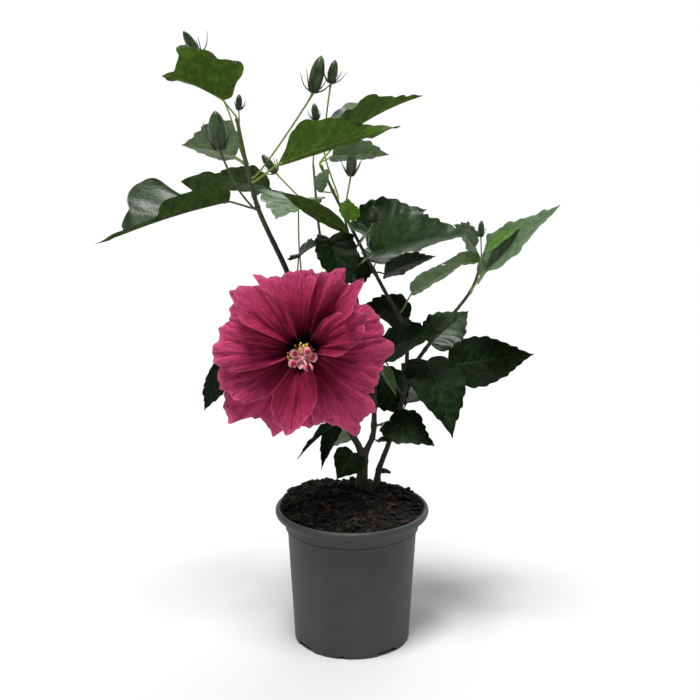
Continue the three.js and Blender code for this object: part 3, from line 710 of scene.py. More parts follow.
upperTints = {
    # Painted shade: the darkest green, darker than the leaves' own glossy green, stands in for the shade
    # on the low and inner leaves.
    "deep": leafMaterial("leaf skin dark green with painted shade", ("#091506", "#0E1E09", "#15290E"), 0.46, 0.3, 0.1),
    "green": leafMaterial("leaf skin green", ("#12260A", "#19300E", "#213B14"), 0.36, 0.3, 0.36),
    # Painted reflection: this pale grey-green base colour, mottled by the noise patches, stands in for
    # the glare of the bright studio on glossy upper faces; the real gloss comes on top.
    "sheen": leafMaterial("leaf skin painted pale sheen", ("#4A6240", "#526A48", "#5E7654"), 0.38, 0.3, 0.5),
    "fresh": leafMaterial("leaf skin fresh green", ("#3C5E1A", "#466C20", "#527A28"), 0.42, 0.3),
}
underTints = {
    # Painted shade: an underside darkened to near black, standing in for the shade on the low and inner
    # leaves.
    "dark": leafMaterial("leaf underside dark with painted shade", ("#0A1406", "#0E1A08", "#15230D"), 0.66, 0.3, 0.06),
    "olive": leafMaterial("leaf underside olive", ("#24370D", "#2E4410", "#394F16"), 0.62, 0.3, 0.2),
    # Painted light: this bright yellow-green stands in for light shining through the blade from above
    # and behind.
    "lit": leafMaterial("leaf underside painted backlight", ("#314A0B", "#39530F", "#446016"), 0.6, 0.3, 0.15),
    "grey": leafMaterial("leaf underside grey green", ("#526844", "#5C734C", "#6A8058"), 0.5, 0.3),
    "fresh": leafMaterial("leaf underside fresh", ("#4C7418", "#588220", "#648E2A"), 0.6, 0.3, 0.25),
}
ribTints = {
    "upper": leafMaterial("leaf rib on the skin", ("#56684A", "#62745A", "#6E7F66"), 0.45, 0.2),
    "upper_dark": leafMaterial("leaf rib dark", ("#1C2E14", "#22361A", "#283C1E"), 0.4, 0.2),
    "under": leafMaterial("leaf rib underside", ("#4E6622", "#566F28", "#607A2E"), 0.5, 0.2, 0.2),
    "under_mid": leafMaterial("leaf rib underside olive", ("#3A5016", "#42581A", "#4A6220"),
                              0.5, 0.2, 0.2),
    # Painted shade: the ribs of the shade-darkened underside, darkened with it.
    "under_dark": leafMaterial("leaf rib underside with painted shade", ("#17250D", "#1A290F", "#203014"),
                               0.5, 0.2, 0.2),
}


# Young bark: green skin that turns brown and woody as wood runs from 0 to 1, with small lenticels.
def stemMaterial():
    material, tree, shader = newMaterial("young bark", **{"IOR": 1.45})
    wood = addNode(tree, "Attribute", attribute_name="wood").outputs["Fac"]
    place = addNode(tree, "TexCoord").outputs["Object"]
    drawn = addNode(tree, "Mapping", {"Vector": place, "Scale": (1, 1, 0.14)}).outputs["Vector"]
    streaks = addNoise(tree, drawn, patternScale(1.1), 6.0, Roughness=0.65)
    shifted = addMath(tree, "ADD", addMath(tree, "MULTIPLY", streaks, 0.35), wood)
    colour = ramp(tree, shifted, [(0.12, "#5E7A2A"), (0.34, "#3A4A1C"), (0.55, "#282A16"),
                                  (0.8, "#191510"), (1.0, "#30281F")])
    tree.links.new(colour, shader.inputs["Base Color"])
    dots = addNode(tree, "TexVoronoi", {"Vector": drawn, "Scale": patternScale(2.4)})
    ridge = addMath(tree, "ADD", streaks, dots.outputs["Distance"])
    addRelief(tree, shader, ridge, 0.6, 0.0005)
    addRoughness(tree, shader, wood, 0.45, 0.85)
    return material


# A stalk's skin: green, thin and slightly waxy, lightly ribbed along its length.
def stalkMaterial(name, colour):
    material, tree, shader = newMaterial(name, **{"IOR": 1.45, "Roughness": 0.48})
    shader.inputs["Base Color"].default_value = linear(colour)
    place = addNode(tree, "TexCoord").outputs["Object"]
    addRelief(tree, shader, addNoise(tree, place, patternScale(0.9), 2.0), 0.3, 0.0003)
    return material


stalkTints = {
    "pale": stalkMaterial("stalk pale green", "#748A30"),
    "mid": stalkMaterial("stalk green", "#384C1C"),
    # The dark tone: painted shade on the stalks of the leaves with a shade-darkened underside; the bud
    # bracts use it too.
    "dark": stalkMaterial("stalk dark green", "#1E2A12"),
}
barkYoung = stemMaterial()

bladeHeaps = {("upper", tint): newHeap() for tint in upperTints}
bladeHeaps.update({("under", tint): newHeap() for tint in underTints})
bladeHeaps.update({("rib", tint): newHeap() for tint in ribTints})
stalkHeaps = {tint: newHeap() for tint in stalkTints}
tintNodes = {tint: [] for tint in upperTints}
nodePlaces = {}


def addStalk(tone, path, radii, sides=7):
    pourTube(stalkHeaps[tone], path, radii, sides)


def stalkRadii(path, base, tip, swellFoot=0.5, swellTip=0.3):
    share = np.linspace(0, 1, len(path))
    return (base + (tip - base) * share + swellFoot * np.exp(-share / 0.05)
            + swellTip * np.exp((share - 1) / 0.06))


seed = 11
for massName, plan in list(foliagePlans.items()) + list(footLeaves.items()):
    heading, rise, _ = plan["leaves"][0]["stalk"]
    spray = len(plan["leaves"]) > 1
    axis, foot = footOn(plan["limb"], plan["at"], heading, rise,
                        knuckleRadius if spray else stalkStandOff)
    nodePlaces.setdefault(plan["limb"], []).append(plan["at"])
    for look in plan["leaves"]:
        seed += 1
        upperTint, underTint = look["tint"]
        stalkEnd = foot + direction(*look["stalk"][:2]) * look["stalk"][2]
        for kind, vertices, faces in bladeSheets(look, stalkEnd, seed):
            # Ribs take the tone of their face: the darkest underside ribs carry that underside's painted
            # shade, and the pale underside ribs also serve the underside whose bright colour is painted
            # light shining through.
            if kind == "upperRib":
                key = ("rib", "upper_dark" if upperTint in ("deep", "green") else "upper")
            elif kind == "underRib":
                key = ("rib", {"dark": "under_dark", "olive": "under_mid"}.get(underTint, "under"))
            else:
                key = (kind, upperTint if kind == "upper" else underTint)
            pour(bladeHeaps[key], vertices, faces)
        centres, _, _ = bladeSpine(look, stalkEnd)
        path = smoothPath([axis, foot, foot + (stalkEnd - foot) * 0.6, stalkEnd, centres[16]], 18)
        # A stalk takes the tone of its blade's underside, so the leaves whose underside is darkened as
        # painted shade get a dark stalk, darkened as painted shade too.
        tone = {"dark": "dark", "olive": "mid"}.get(underTint, "pale")
        thick = np.clip(0.75 + look["blade"][2] * 0.004, 0.7, 1.25)
        addStalk(tone, path, stalkRadii(path, thick, thick * 0.8))
    if massName in foliagePlans:
        tintNodes[plan["leaves"][0]["tint"][0]].append(massName)
print("leaves grown")

for (kind, tint), heap in bladeHeaps.items():
    if heap["count"]:
        looks = {"upper": upperTints, "under": underTints, "rib": ribTints}[kind]
        nodes = tintNodes[tint] if kind == "upper" else ()
        addHeap("leaves_" + kind + "_" + tint, heap, looks[tint], nodes)

# wood: how woody the bark is at the limb's foot and tip. sink: how far the foot goes into its parent.
limbLooks = {
    "trunk": {"wood": (0.95, 0.85), "sink": 6},
    "left_stem_lower": {"wood": (0.8, 0.5), "sink": 9, "root": (11.6, 29.9, 202)},
    "left_stem_upper": {"wood": (0.5, 0.12), "sink": 1.5},
    "middle_stem": {"wood": (0.8, 0.6), "sink": 9, "root": (13.4, 30, 202)},
    "centre_stem": {"wood": (0.5, 0.2), "sink": 1.5},
    "right_stem": {"wood": (0.8, 0.6), "sink": 6},
    "long_shoot": {"wood": (0.6, 0.1), "sink": 1.5},
    "right_shoot": {"wood": (0.45, 0.15), "sink": 3, "root": (58, 31, 296)},
    "thin_shoot": {"wood": (0.4, 0.0), "sink": 3, "root": (6, 21, 344)},
}
stemDetail = {"sides": 20, "step": 1.1, "relief": 0.28, "node": 0.55, "nodeWidth": 2.2}

stemHeap = newHeap()
for limbName, look in limbLooks.items():
    path = limbPaths[limbName]
    base, tip = limbPlans[limbName]["radius"]
    flare = limbPlans[limbName].get("flare", 0)
    length = pathLength(path)
    if "root" in look:
        path = smoothPath([np.array(look["root"]), *path[6::18], path[-1]])
    else:
        path = np.vstack([path[:1] - pathTangent(path, 0) * look["sink"], path])
    rings = int(pathLength(path) / stemDetail["step"])
    path = smoothPath(np.vstack([path[:-3:6], path[-1:]]) if "root" in look
                      else np.vstack([path[:2], path[8:-3:8], path[-1:]]), rings)
    grown = pathLength(path)
    distances = np.linspace(0, grown, rings)
    share = np.clip((distances - (grown - length)) / length, 0, 1)
    radii = base + (tip - base) * share + flare * np.exp(-flareFade * share)
    if "root" in look:
        radii = radii + 1.1 * np.exp(-distances / 12)
    for at in nodePlaces.get(limbName, ()):
        radii = radii + stemDetail["node"] * np.exp(-(((share - at) * length)
                                                      / stemDetail["nodeWidth"]) ** 2)
    woods = look["wood"][0] + (look["wood"][1] - look["wood"][0]) * share
    tangents, acrosses, seconds = pathFrames(path)
    turns = np.arange(stemDetail["sides"]) / stemDetail["sides"] * 2 * math.pi
    offsets = (np.cos(turns)[None, :, None] * acrosses[:, None]
               + np.sin(turns)[None, :, None] * seconds[:, None])
    ring = path[:, None] + offsets * radii[:, None, None]
    # Long ridges and small knobs, stronger where the bark is woody.
    rough = np.array([[noise.noise((p[0] * 0.55, p[1] * 0.55, p[2] * 0.07)) + 0.5 * noise.noise(p * 0.6)
                       for p in row] for row in ring])
    ring = ring + offsets * (rough * stemDetail["relief"] * (0.4 + woods[:, None])
                             * (radii[:, None] / 3))[..., None]
    vertices = np.vstack([ring.reshape(-1, 3), path[:1], path[-1:] + tangents[-1:] * tip * 0.5])
    faces = tubeFaces(rings, stemDetail["sides"])
    pour(stemHeap, vertices, faces, wood=np.concatenate([np.repeat(woods, stemDetail["sides"]),
                                                         woods[[0, -1]]]))

# The cut stub above the right stem's fork.
stubFoot = limbPaths["right_stem"][-1]
stubLine = smoothPath([stubFoot - (0, 0, 12), stubFoot, stubFoot + (-1.5, 0, 10),
                       stubFoot + (-2, 0.5, 19)], 14)
pourTube(stemHeap, stubLine, np.linspace(2.6, 2.3, 14), 14, wood=np.full(14, 0.8))
addHeap("stems", stemHeap, barkYoung, list(limbLooks))
print("stems grown")

# Bud: five green calyx lobes closed over the petals, with a whorl of thin bracts below.
budSkin = leafMaterial("bud calyx", ("#1A2C10", "#243A17", "#314C22"), 0.34, 0.4, 0.5)
budSeam = leafMaterial("bud seam", ("#34491E", "#3C5424", "#48622C"), 0.5, 0.2)
budHeap, bractHeap, seamHeap = newHeap(), newHeap(), newHeap()
budDetail = {"lobes": 5, "sides": 40, "rings": 26, "groove": 0.1, "twist": 0.5, "bracts": 7}

budSeed = np.random.default_rng(5)
for plan in budPlans.values():
    heading, rise, _ = plan["steps"][0]
    axis, foot = footOn(plan["limb"], plan["at"], heading, rise, stalkStandOff)
    steps = grow(foot, plan["steps"])
    along = direction(*plan["bud"][:2])
    length, radius = plan["bud"][2], plan["radius"]
    path = smoothPath(np.vstack([[axis], steps, [steps[-1] + along * 2]]), 40)
    thick = 0.62 + radius * 0.055
    share = np.linspace(0, 1, 40)
    radii = thick * (1 + 0.35 * np.exp(-share / 0.05)) + 0.7 * np.exp((share - 1) / 0.05) * radius / 6
    addStalk("pale" if plan["at"] > 0.6 else "mid", path, radii)
    # The closed calyx.
    across = unit(np.cross(along, (0.3, 1, 0.2)))
    second = np.cross(along, across)
    heights = np.linspace(0, 1, budDetail["rings"])
    profile = smoothPath([(0, 0.34, 0), (0.05, 0.62, 0), (0.2, 0.9, 0), (0.42, 1.0, 0), (0.62, 0.96, 0),
                          (0.8, 0.74, 0), (0.93, 0.4, 0), (1, 0.05, 0)], 200)
    profile = np.interp(heights, profile[:, 0], profile[:, 1])
    turns = np.arange(budDetail["sides"]) / budDetail["sides"] * 2 * math.pi
    grid = []
    for height, size in zip(heights, profile):
        lobe = np.abs(np.sin((turns + budDetail["twist"] * height) * budDetail["lobes"] / 2)) ** 0.55
        r = radius * size * (1 - budDetail["groove"] * (1 - lobe))
        grid.append(steps[-1] + along * (height * length) + (across * np.cos(turns)[:, None]
                                                             + second * np.sin(turns)[:, None])
                    * r[:, None])
    vertices = np.vstack(grid + [[steps[-1]], [steps[-1] + along * length * 1.01]])
    pour(budHeap, vertices, tubeFaces(budDetail["rings"], budDetail["sides"]))
    # Pale edges where the calyx lobes meet.
    for k in range(budDetail["lobes"]):
        at = 2 * math.pi * k / budDetail["lobes"] - budDetail["twist"] * heights[2:-1]
        r = radius * profile[2:-1] * (1 - budDetail["groove"]) + 0.05
        line = (steps[-1] + along * (heights[2:-1, None] * length)
                + (across * np.cos(at)[:, None] + second * np.sin(at)[:, None]) * r[:, None])
        pourTube(seamHeap, line, 0.05 + 0.028 * radius, 5)
    # Spreading bracts.
    for k in range(budDetail["bracts"]):
        turn = 2 * math.pi * (k + budSeed.uniform(-0.25, 0.25)) / budDetail["bracts"]
        out = across * math.cos(turn) + second * math.sin(turn)
        reach = length * budSeed.uniform(0.5, 0.85)
        spread = budSeed.uniform(0.5, 0.95)
        points = [steps[-1] + along * 0.6, steps[-1] + along * length * 0.05 + out * radius * 0.6,
                  steps[-1] + (along * (1 - spread * 0.6) + out * spread) * reach * 0.55,
                  steps[-1] + (along * (1.15 - spread * 0.5) + out * spread * 0.9) * reach]
        line = smoothPath(points, 14)
        pourTube(bractHeap, line, np.linspace(0.95, 0.28, 14) * (0.6 + radius * 0.06), 6)

addHeap("buds", budHeap, budSkin, [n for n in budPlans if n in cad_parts])
addHeap("bud_seams", seamHeap, budSeam)
addHeap("bud_bracts", bractHeap, stalkTints["dark"])
for tint, heap in stalkHeaps.items():
    addHeap("stalks_" + tint, heap, stalkTints[tint])
print("buds grown")

bloom = {"centre": (-51, -60, 341), "facing": (-88, 12), "throatUp": 7, "throatDepth": 15,
         "thickness": 0.35}


# start and end are the angles of a petal's two edges round the throat, anticlockwise from the right;
# reach is how far its margin stands from the throat, evenly spaced from one edge to the other; lift is
# how far forward it lies; cup bends its edges forward; reflex rolls its margin back; curl turns its
# first and last edge up sharply.
def petal(start, end, reach, lift, cup, reflex, curl=(0, 0)):
    return {"from": start, "to": end, "reach": reach, "lift": lift, "cup": cup, "reflex": reflex,
            "curl": curl}


petalPlans = [
    petal(-112, -68, (76, 80, 82, 81, 78), -14, 2, 12),
    petal(206, 259, (88, 101, 109, 87, 86, 95, 80), -11, 4, 4),
    petal(138, 166, (84, 87, 85, 80, 78), -8, 3, 3),
    petal(54, 93, (60, 98, 86, 83, 83, 82), -8, 5, 12),
    petal(4, 43, (83, 86, 88, 86, 80, 74), -6, 6, 14),
    petal(-83, -33, (78, 80, 89, 106, 97, 99, 82), -1, 5, 18),
    petal(187, 240, (88, 91, 93, 88, 80, 64, 48), 2, 9, 4, (9, 4)),
    petal(37, 69, (60, 76, 98, 80, 82, 70), 12, 12, -10, (7, 12)),
    petal(71, 123, (56, 76, 80, 82, 81, 82, 95), 7, 8, 16, (3, 5)),
    petal(67, 81, (50, 76, 82, 54), 15, 5, -3, (8, 8)),
    petal(-40, 9, (66, 86, 84, 84, 88, 96, 84), 8, 8, 16, (4, 6)),
    petal(149, 203, (70, 80, 88, 89, 93, 91, 80, 42), 16, 9, 16, (6, 8)),
    petal(111, 154, (42, 68, 82, 91, 94, 80, 68), 27, 10, -2, (13, 4)),
    petal(-128, -64, (50, 66, 80, 86, 75, 62, 49, 28), 23, 12, -8, (8, 8)),
    petal(-9, 58, (34, 47, 60, 68, 76, 63, 51, 36), 30, 12, 10, (12, 6)),
]
petalRows, petalColumns = 42, 76

facing = direction(*bloom["facing"])
bloomRight = unit(np.cross((0, 0, 1), facing))
bloomUp = np.cross(facing, bloomRight)
throat = np.array(bloom["centre"], float) + bloomUp * bloom["throatUp"]


# The direction out from the bloom's middle at this turn, in radians.
def outFromBloom(turn):
    return bloomRight * math.cos(turn) + bloomUp * math.sin(turn)


def petalSheets(plan, seed):
    random = np.random.default_rng(seed)
    u = np.linspace(0.05, 1, petalRows)[:, None]
    v = np.linspace(-1, 1, petalColumns)[None, :]
    middle, half = (plan["from"] + plan["to"]) / 2, (plan["to"] - plan["from"]) / 2
    place = np.linspace(plan["from"], plan["to"], len(plan["reach"]))
    angle = middle + half * v
    smooth = smoothPath(np.column_stack([place, plan["reach"], np.zeros(len(place))]), 120)
    # Half rounded and half straight from point to point, which leaves the tips a little sharp.
    rounded = np.interp(angle, smooth[:, 0], smooth[:, 1])
    reach = 0.5 * rounded + 0.5 * np.interp(angle, place, plan["reach"])
    # Small notches and frills round the margin.
    waves = [(random.uniform(6, 9), random.uniform(0, 6.3), 0.012),
             (random.uniform(13, 19), random.uniform(0, 6.3), 0.012),
             (random.uniform(26, 34), random.uniform(0, 6.3), 0.007)]
    for rate, phase, size in waves:
        reach = reach * (1 + size * np.sin(rate * v * half / 25 + phase))
    radius = reach * u
    # The petal is narrower at its claw than the fan.
    waist = 0.72 + 0.28 * np.clip(u / 0.45, 0, 1)
    turned = np.radians(middle + half * v * waist)
    base = -bloom["throatDepth"]
    rise = 1 - (1 - np.clip(u / 0.55, 0, 1)) ** 2.2
    height = base + (plan["lift"] - base) * rise
    height = height + plan["cup"] * v ** 2 * u - plan["reflex"] * np.clip((u - 0.55) / 0.45, 0, 1) ** 2
    height = height + 1.6 * np.cos(v * math.pi * 0.5) * np.sin(np.pi * np.clip(u, 0, 1))
    first, last = plan["curl"]
    firstCurl = first * np.clip((-v - 0.66) / 0.34, 0, 1) ** 2
    lastCurl = last * np.clip((v - 0.66) / 0.34, 0, 1) ** 2
    height = height + u * (firstCurl + lastCurl)
    for rate, size in ((3.1, 3.0), (6.3, 2.2), (11.5, 1.3)):
        height = height + size * u ** 3 * np.sin(rate * v * half / 25 + random.uniform(0, 6.3)
                                                 + u * 1.5)
    for rate, size in ((8, 1.5), (17, 0.8), (29, 0.4)):
        height = height + size * np.sin(np.pi * u) ** 0.6 * np.sin(rate * v * half / 25
                                                                   + random.uniform(0, 6.3))
    flat = radius[..., None] * (np.cos(turned)[..., None] * bloomRight
                                + np.sin(turned)[..., None] * bloomUp)
    edge = (1 - u ** 10) * (1 - v ** 10)
    thick = bloom["thickness"] * edge
    crinkle = np.array([[2.4 * noise.noise((a * 0.16, r * 0.05, seed * 3.1))
                         + 1.3 * noise.noise((a * 0.5, r * 0.13, seed))
                         for a, r in zip(rowA, rowR)]
                        for rowA, rowR in zip(np.broadcast_to(angle, radius.shape), radius)]) * u
    front = throat + flat + (height + crinkle + thick)[..., None] * facing
    back = throat + flat + (height + crinkle - thick)[..., None] * facing
    along = np.broadcast_to(radius / 92, radius.shape)
    across = np.broadcast_to(angle + seed * 57.0, radius.shape)
    return front, back, along, across, np.maximum(u, np.abs(v))


# Petal: thin crinkled tissue, with fine darker veins that fan from the throat and a few bruises at the
# margin. Its red darkens towards the throat, and the innermost part is painted near black as the shade
# in the hollow of the throat; a pale pink rim along the margin is a painted highlight.
def petalMaterial():
    material, tree, shader = newMaterial("petal tissue", **{"IOR": 1.4, "Roughness": 0.62,
                                                            "Specular IOR Level": 0.1})
    along, across, edge = [addNode(tree, "Attribute", attribute_name=key).outputs["Fac"]
                           for key in ("along", "across", "edge")]
    fan = addNode(tree, "CombineXYZ", {"X": across, "Y": along}).outputs["Vector"]
    place = addNode(tree, "TexCoord").outputs["Object"]
    # Veins stand a degree or less apart and branch as they run out.
    drawn = addNode(tree, "Mapping", {"Vector": fan, "Scale": (2.1, 6.5, 1)}).outputs["Vector"]
    veins = addNoise(tree, drawn, 1.0, 3.0, Roughness=0.55, Distortion=0.9)
    wide = addNode(tree, "Mapping", {"Vector": fan, "Scale": (0.13, 1.4, 1)}).outputs["Vector"]
    streaks = addMath(tree, "MULTIPLY", addNoise(tree, wide, 1.0, 3.0), -0.16)
    pulled = addMath(tree, "ADD", along, streaks)
    veined = addMath(tree, "ADD", pulled, addMath(tree, "MULTIPLY", veins, -0.1))
    # Painted shade: the first stops run to near black where the throat lies in shade; the rest runs from
    # dark red to pink towards the margin.
    colour = ramp(tree, veined, [(0.0, "#080103"), (0.025, "#1C0208"), (0.05, "#6C1030"),
                                 (0.1, "#A4264E"), (0.42, "#BC325F"), (0.8, "#D84E7C")])
    lines = ramp(tree, veins, [(0.42, 0.5), (0.52, 1.0)])
    shade = addNode(tree, "Mix", {0: 0.85, 6: colour, 7: lines}, data_type="RGBA",
                    blend_type="MULTIPLY")
    blots = addNoise(tree, place, patternScale(5), 3.0)
    margin = addNode(tree, "MapRange", {"Value": edge, "From Min": 0.86, "From Max": 1.0,
                                        "To Max": 0.16})
    bruised = ramp(tree, addMath(tree, "ADD", blots, margin.outputs["Result"]),
                   [(0.72, 0.0), (0.77, 0.75)])
    stained = addNode(tree, "Mix", {0: bruised, 6: shade.outputs[2], 7: linear("#2E1428")},
                      data_type="RGBA")
    # Painted highlight: a pale pink rim along each petal's margin stands in for light catching the
    # curled edges.
    paintedRimHighlight = ramp(tree, edge, [(0.94, 0.0), (1.0, 0.4)])
    highlightedPetal = addNode(tree, "Mix", {0: paintedRimHighlight, 6: stained.outputs[2], 7: linear("#E878A0")},
                    data_type="RGBA")
    tree.links.new(highlightedPetal.outputs[2], shader.inputs["Base Color"])
    pucker = addMath(tree, "MULTIPLY", addNoise(tree, place, patternScale(2.0), 2.0), 0.45)
    addRelief(tree, shader, addMath(tree, "ADD", veins, pucker), 1.0, 0.003)
    return material


petalHeap = newHeap()
for number, plan in enumerate(petalPlans):
    front, back, along, across, edge = petalSheets(plan, number + 1)
    faces = gridFaces(petalRows, petalColumns)
    for sheet, order in ((front, faces), (back, faces[:, ::-1])):
        pour(petalHeap, sheet, order, along=along.ravel(), across=across.ravel(), edge=edge.ravel())
addHeap("bloom_petals", petalHeap, petalMaterial(), ["bloom"])
print("bloom opened")

# The stalk and calyx behind the bloom.
stemPoint = pathAt(limbPaths["left_stem_lower"], 0.72)
calyxPoint = np.array(bloom["centre"], float) - facing * 28
calyxHeap = newHeap()
stalkLine = smoothPath([stemPoint, stemPoint * 0.7 + calyxPoint * 0.3,
                        stemPoint * 0.35 + calyxPoint * 0.65, calyxPoint, calyxPoint + facing * 5], 26)
pourTube(calyxHeap, stalkLine, np.interp(np.linspace(0, 1, 26), [0, 0.1, 0.75, 1],
                                         [2.2, 1.7, 1.8, 3.6]), 12)
for k in range(5):
    turn = 2 * math.pi * k / 5 + 0.3
    out = outFromBloom(turn)
    side = np.cross(facing, out)
    s = np.linspace(0, 1, 14)[:, None]
    w = np.linspace(-1, 1, 9)[None, :]
    width = 9 * np.sin(np.pi * np.clip(s * 0.86 + 0.14, 0, 1)) ** 0.8
    radial = 4.5 + 13 * s ** 1.1 - 1.4 * w ** 2 * s
    spot = (calyxPoint + radial[..., None] * out + (s * 17 - 1 + 1.2 * w ** 2)[..., None] * facing
            + (width * w)[..., None] * side)
    inner = spot + facing * 0.5
    faces = gridFaces(14, 9)
    pour(calyxHeap, spot.reshape(-1, 3), faces)
    pour(calyxHeap, inner.reshape(-1, 3), faces[:, ::-1])
for k in range(8):
    turn = 2 * math.pi * k / 8
    out = outFromBloom(turn)
    line = smoothPath([calyxPoint - facing * 1, calyxPoint + out * 9 - facing * 0.5,
                       calyxPoint + out * 17 + facing * 5], 12)
    pourTube(calyxHeap, line, np.linspace(0.9, 0.15, 12), 5)
addHeap("bloom_calyx", calyxHeap, stalkTints["mid"])

# The column in the throat: a pink stem with pale flaps, five red stigma pads and yellow anthers.
columnSkin = stalkMaterial("column flesh pink", "#DE93A2")
stigmaVelvet = stalkMaterial("stigma velvet", "#A20C20")
antherPollen = stalkMaterial("anther pollen", "#E8C258")
columnHeap, stigmaHeap, antherHeap = newHeap(), newHeap(), newHeap()
columnEnd = np.array(bloom["centre"], float) + facing * 19 - bloomUp * 1
columnLine = smoothPath([throat - facing * 18, throat - facing * 2 - bloomUp * 1,
                         columnEnd - facing * 6, columnEnd], 18)
pourTube(columnHeap, columnLine, np.linspace(3.4, 2.6, 18), 14)
stamenSeed = np.random.default_rng(21)
padPlaces = [(13, 8), (11.5, 55), (12.5, 148), (14, 205), (13.5, 302)]


def pourBall(heap, centre, radii, axes, rings=7, sides=10):
    polar = np.linspace(0.001, math.pi - 0.001, rings)[:, None]
    turn = (np.arange(sides) / sides * 2 * math.pi)[None, :]
    x = np.sin(polar) * np.cos(turn) * radii[0]
    y = np.sin(polar) * np.sin(turn) * radii[1]
    z = np.cos(polar) * radii[2] * np.ones_like(turn)
    spots = centre + x[..., None] * axes[0] + y[..., None] * axes[1] + z[..., None] * axes[2]
    pour(heap, spots.reshape(-1, 3), gridFaces(rings, sides, closed=True))


for distance, turn in padPlaces:
    out = outFromBloom(math.radians(turn))
    end = columnEnd + out * distance * 0.75 + facing * 3
    line = smoothPath([columnEnd - facing * 5, columnEnd + out * distance * 0.3, end], 9)
    pourTube(columnHeap, line, np.linspace(1.9, 1.6, 9), 8)
    pourBall(columnHeap, end - facing * 0.6 + out * 0.8, (4.9, 4.9, 2.2), (bloomRight, bloomUp, facing),
             7, 12)
    pourBall(stigmaHeap, end + facing * 1.6, (2.7, 2.7, 2.0), (bloomRight, bloomUp, facing))
# Small flaps of petal grown from the stamens.
for k in range(9):
    turn = 2 * math.pi * (k + stamenSeed.uniform(-0.3, 0.3)) / 9
    out = outFromBloom(turn)
    side = np.cross(facing, out)
    size = stamenSeed.uniform(5.5, 8.5)
    s = np.linspace(0, 1, 9)[:, None]
    w = np.linspace(-1, 1, 7)[None, :]
    wide = size * 0.55 * np.sin(np.pi * (s * 0.8 + 0.12))
    bend = stamenSeed.uniform(-2, 3)
    spot = (columnEnd - facing * 4 + (2 + s * size * 1.35)[..., None] * out
            + (s * 5 + bend * s ** 2 + 1.2 * w ** 2 * s)[..., None] * facing
            + (wide * w)[..., None] * side)
    faces = gridFaces(9, 7)
    pour(columnHeap, spot.reshape(-1, 3), faces)
    pour(columnHeap, (spot - facing * 0.5).reshape(-1, 3), faces[:, ::-1])
for k in range(64):
    turn = math.radians(stamenSeed.uniform(-20, 200))
    out = outFromBloom(turn)
    reach = stamenSeed.uniform(7, 16)
    depth = stamenSeed.uniform(-8, 3)
    end = columnEnd + out * reach + facing * depth
    start = columnEnd + facing * (depth - 4) + out * 2
    line = smoothPath([start, start * 0.5 + end * 0.5 + facing * 0.8, end], 6)
    pourTube(antherHeap if k % 2 else columnHeap, line, 0.28, 5)
    pourBall(antherHeap, end, (1.25, 1.25, 0.95), (bloomRight, bloomUp, facing), 5, 7)
addHeap("bloom_column", columnHeap, columnSkin)
addHeap("bloom_stigmas", stigmaHeap, stigmaVelvet)
addHeap("bloom_anthers", antherHeap, antherPollen)

# Pot: injection-moulded polypropylene, recycled grey, with a dull and faintly mottled skin.
pot = {"foot": 64.5, "segments": 240, "wideNotch": (25, 5), "narrowNotch": (6, 3)}


def potMaterial():
    material, tree, shader = newMaterial("moulded polypropylene grey",
                                         **{"IOR": 1.49, "Specular IOR Level": 0.4})
    place = addNode(tree, "TexCoord").outputs["Object"]
    clouds = addNoise(tree, place, patternScale(32), 4.0)
    specks = addNoise(tree, place, patternScale(1.6), 2.0)
    added = addMath(tree, "ADD", clouds, addMath(tree, "MULTIPLY", specks, 0.25))
    colour = ramp(tree, added, [(0.4, "#303131"), (0.62, "#353636"), (0.85, "#3B3C3D")])
    tree.links.new(colour, shader.inputs["Base Color"])
    addRoughness(tree, shader, clouds, 0.48, 0.62)
    addRelief(tree, shader, specks, 0.35, 0.0003)
    return material


def notchHeight(angle):
    raised = 0.0
    for start, (width, height) in ((-53, pot["wideNotch"]), (-10, pot["narrowNotch"])):
        away = abs((angle - start + 45) % 90 - 45) * math.pi / 180 * pot["foot"]
        raised = max(raised, height * float(np.clip((width / 2 - away) / 0.8 + 0.5, 0, 1)))
    return raised


potProfile = [
    (0.01, 0, 0), (30, 0, 0), (55, 0, 0), (56.2, 0, 0), (56.6, 0, 1), (60, 0, 1), (63.6, 0, 1),
    (64.2, 0.3, 1), (64.5, 0.9, 1), (64.9, 8, 0), (66.6, 40, 0), (68.6, 75, 0), (70.4, 108, 0),
    (71.5, 129.4, 0), (71.6, 130.2, 0), (71.9, 130.8, 0), (73.6, 131.2, 0), (74.0, 131.8, 0),
    (73.9, 132.6, 0), (73.5, 133.2, 0), (74.3, 139, 0), (75.2, 144.4, 0), (75.7, 145.4, 0),
    (77, 145.8, 0), (81, 145.9, 0), (82.6, 146.3, 0), (83.8, 147.2, 0), (84.6, 148.6, 0),
    (85, 150.4, 0), (84.9, 152, 0), (84.3, 153.5, 0), (83.2, 154.6, 0), (82, 155, 0),
    (80.9, 154.8, 0), (80, 154.1, 0), (79.2, 152.8, 0), (78, 150.6, 0), (75.6, 147, 0),
    (74, 144.5, 0), (72.6, 138, 0), (71.5, 131, 0), (69.8, 129, 0), (66, 70, 0), (62.7, 4, 0),
    (62, 3, 0), (0.01, 3, 0),
]
rings = []
turns = np.arange(pot["segments"]) / pot["segments"] * 2 * math.pi
notches = np.array([notchHeight(math.degrees(t)) for t in turns])
for radius, height, notched in potProfile:
    lift = np.minimum(notches * notched, 5.2)
    slope = 1.4 / 62 * lift * notched
    rings.append(np.column_stack([(radius + slope) * np.cos(turns), (radius + slope) * np.sin(turns),
                                  height + lift]))
potHeap = newHeap()
pour(potHeap, np.vstack(rings), gridFaces(len(rings), pot["segments"], closed=True))
potMesh = meshFrom("pot_wall", np.vstack(potHeap["vertices"]), potHeap["faces"])
potMesh.set_sharp_from_angle(angle=math.radians(38))
addPiece("pot_wall", potMesh, potMaterial(), ["pot"])
print("pot moulded")

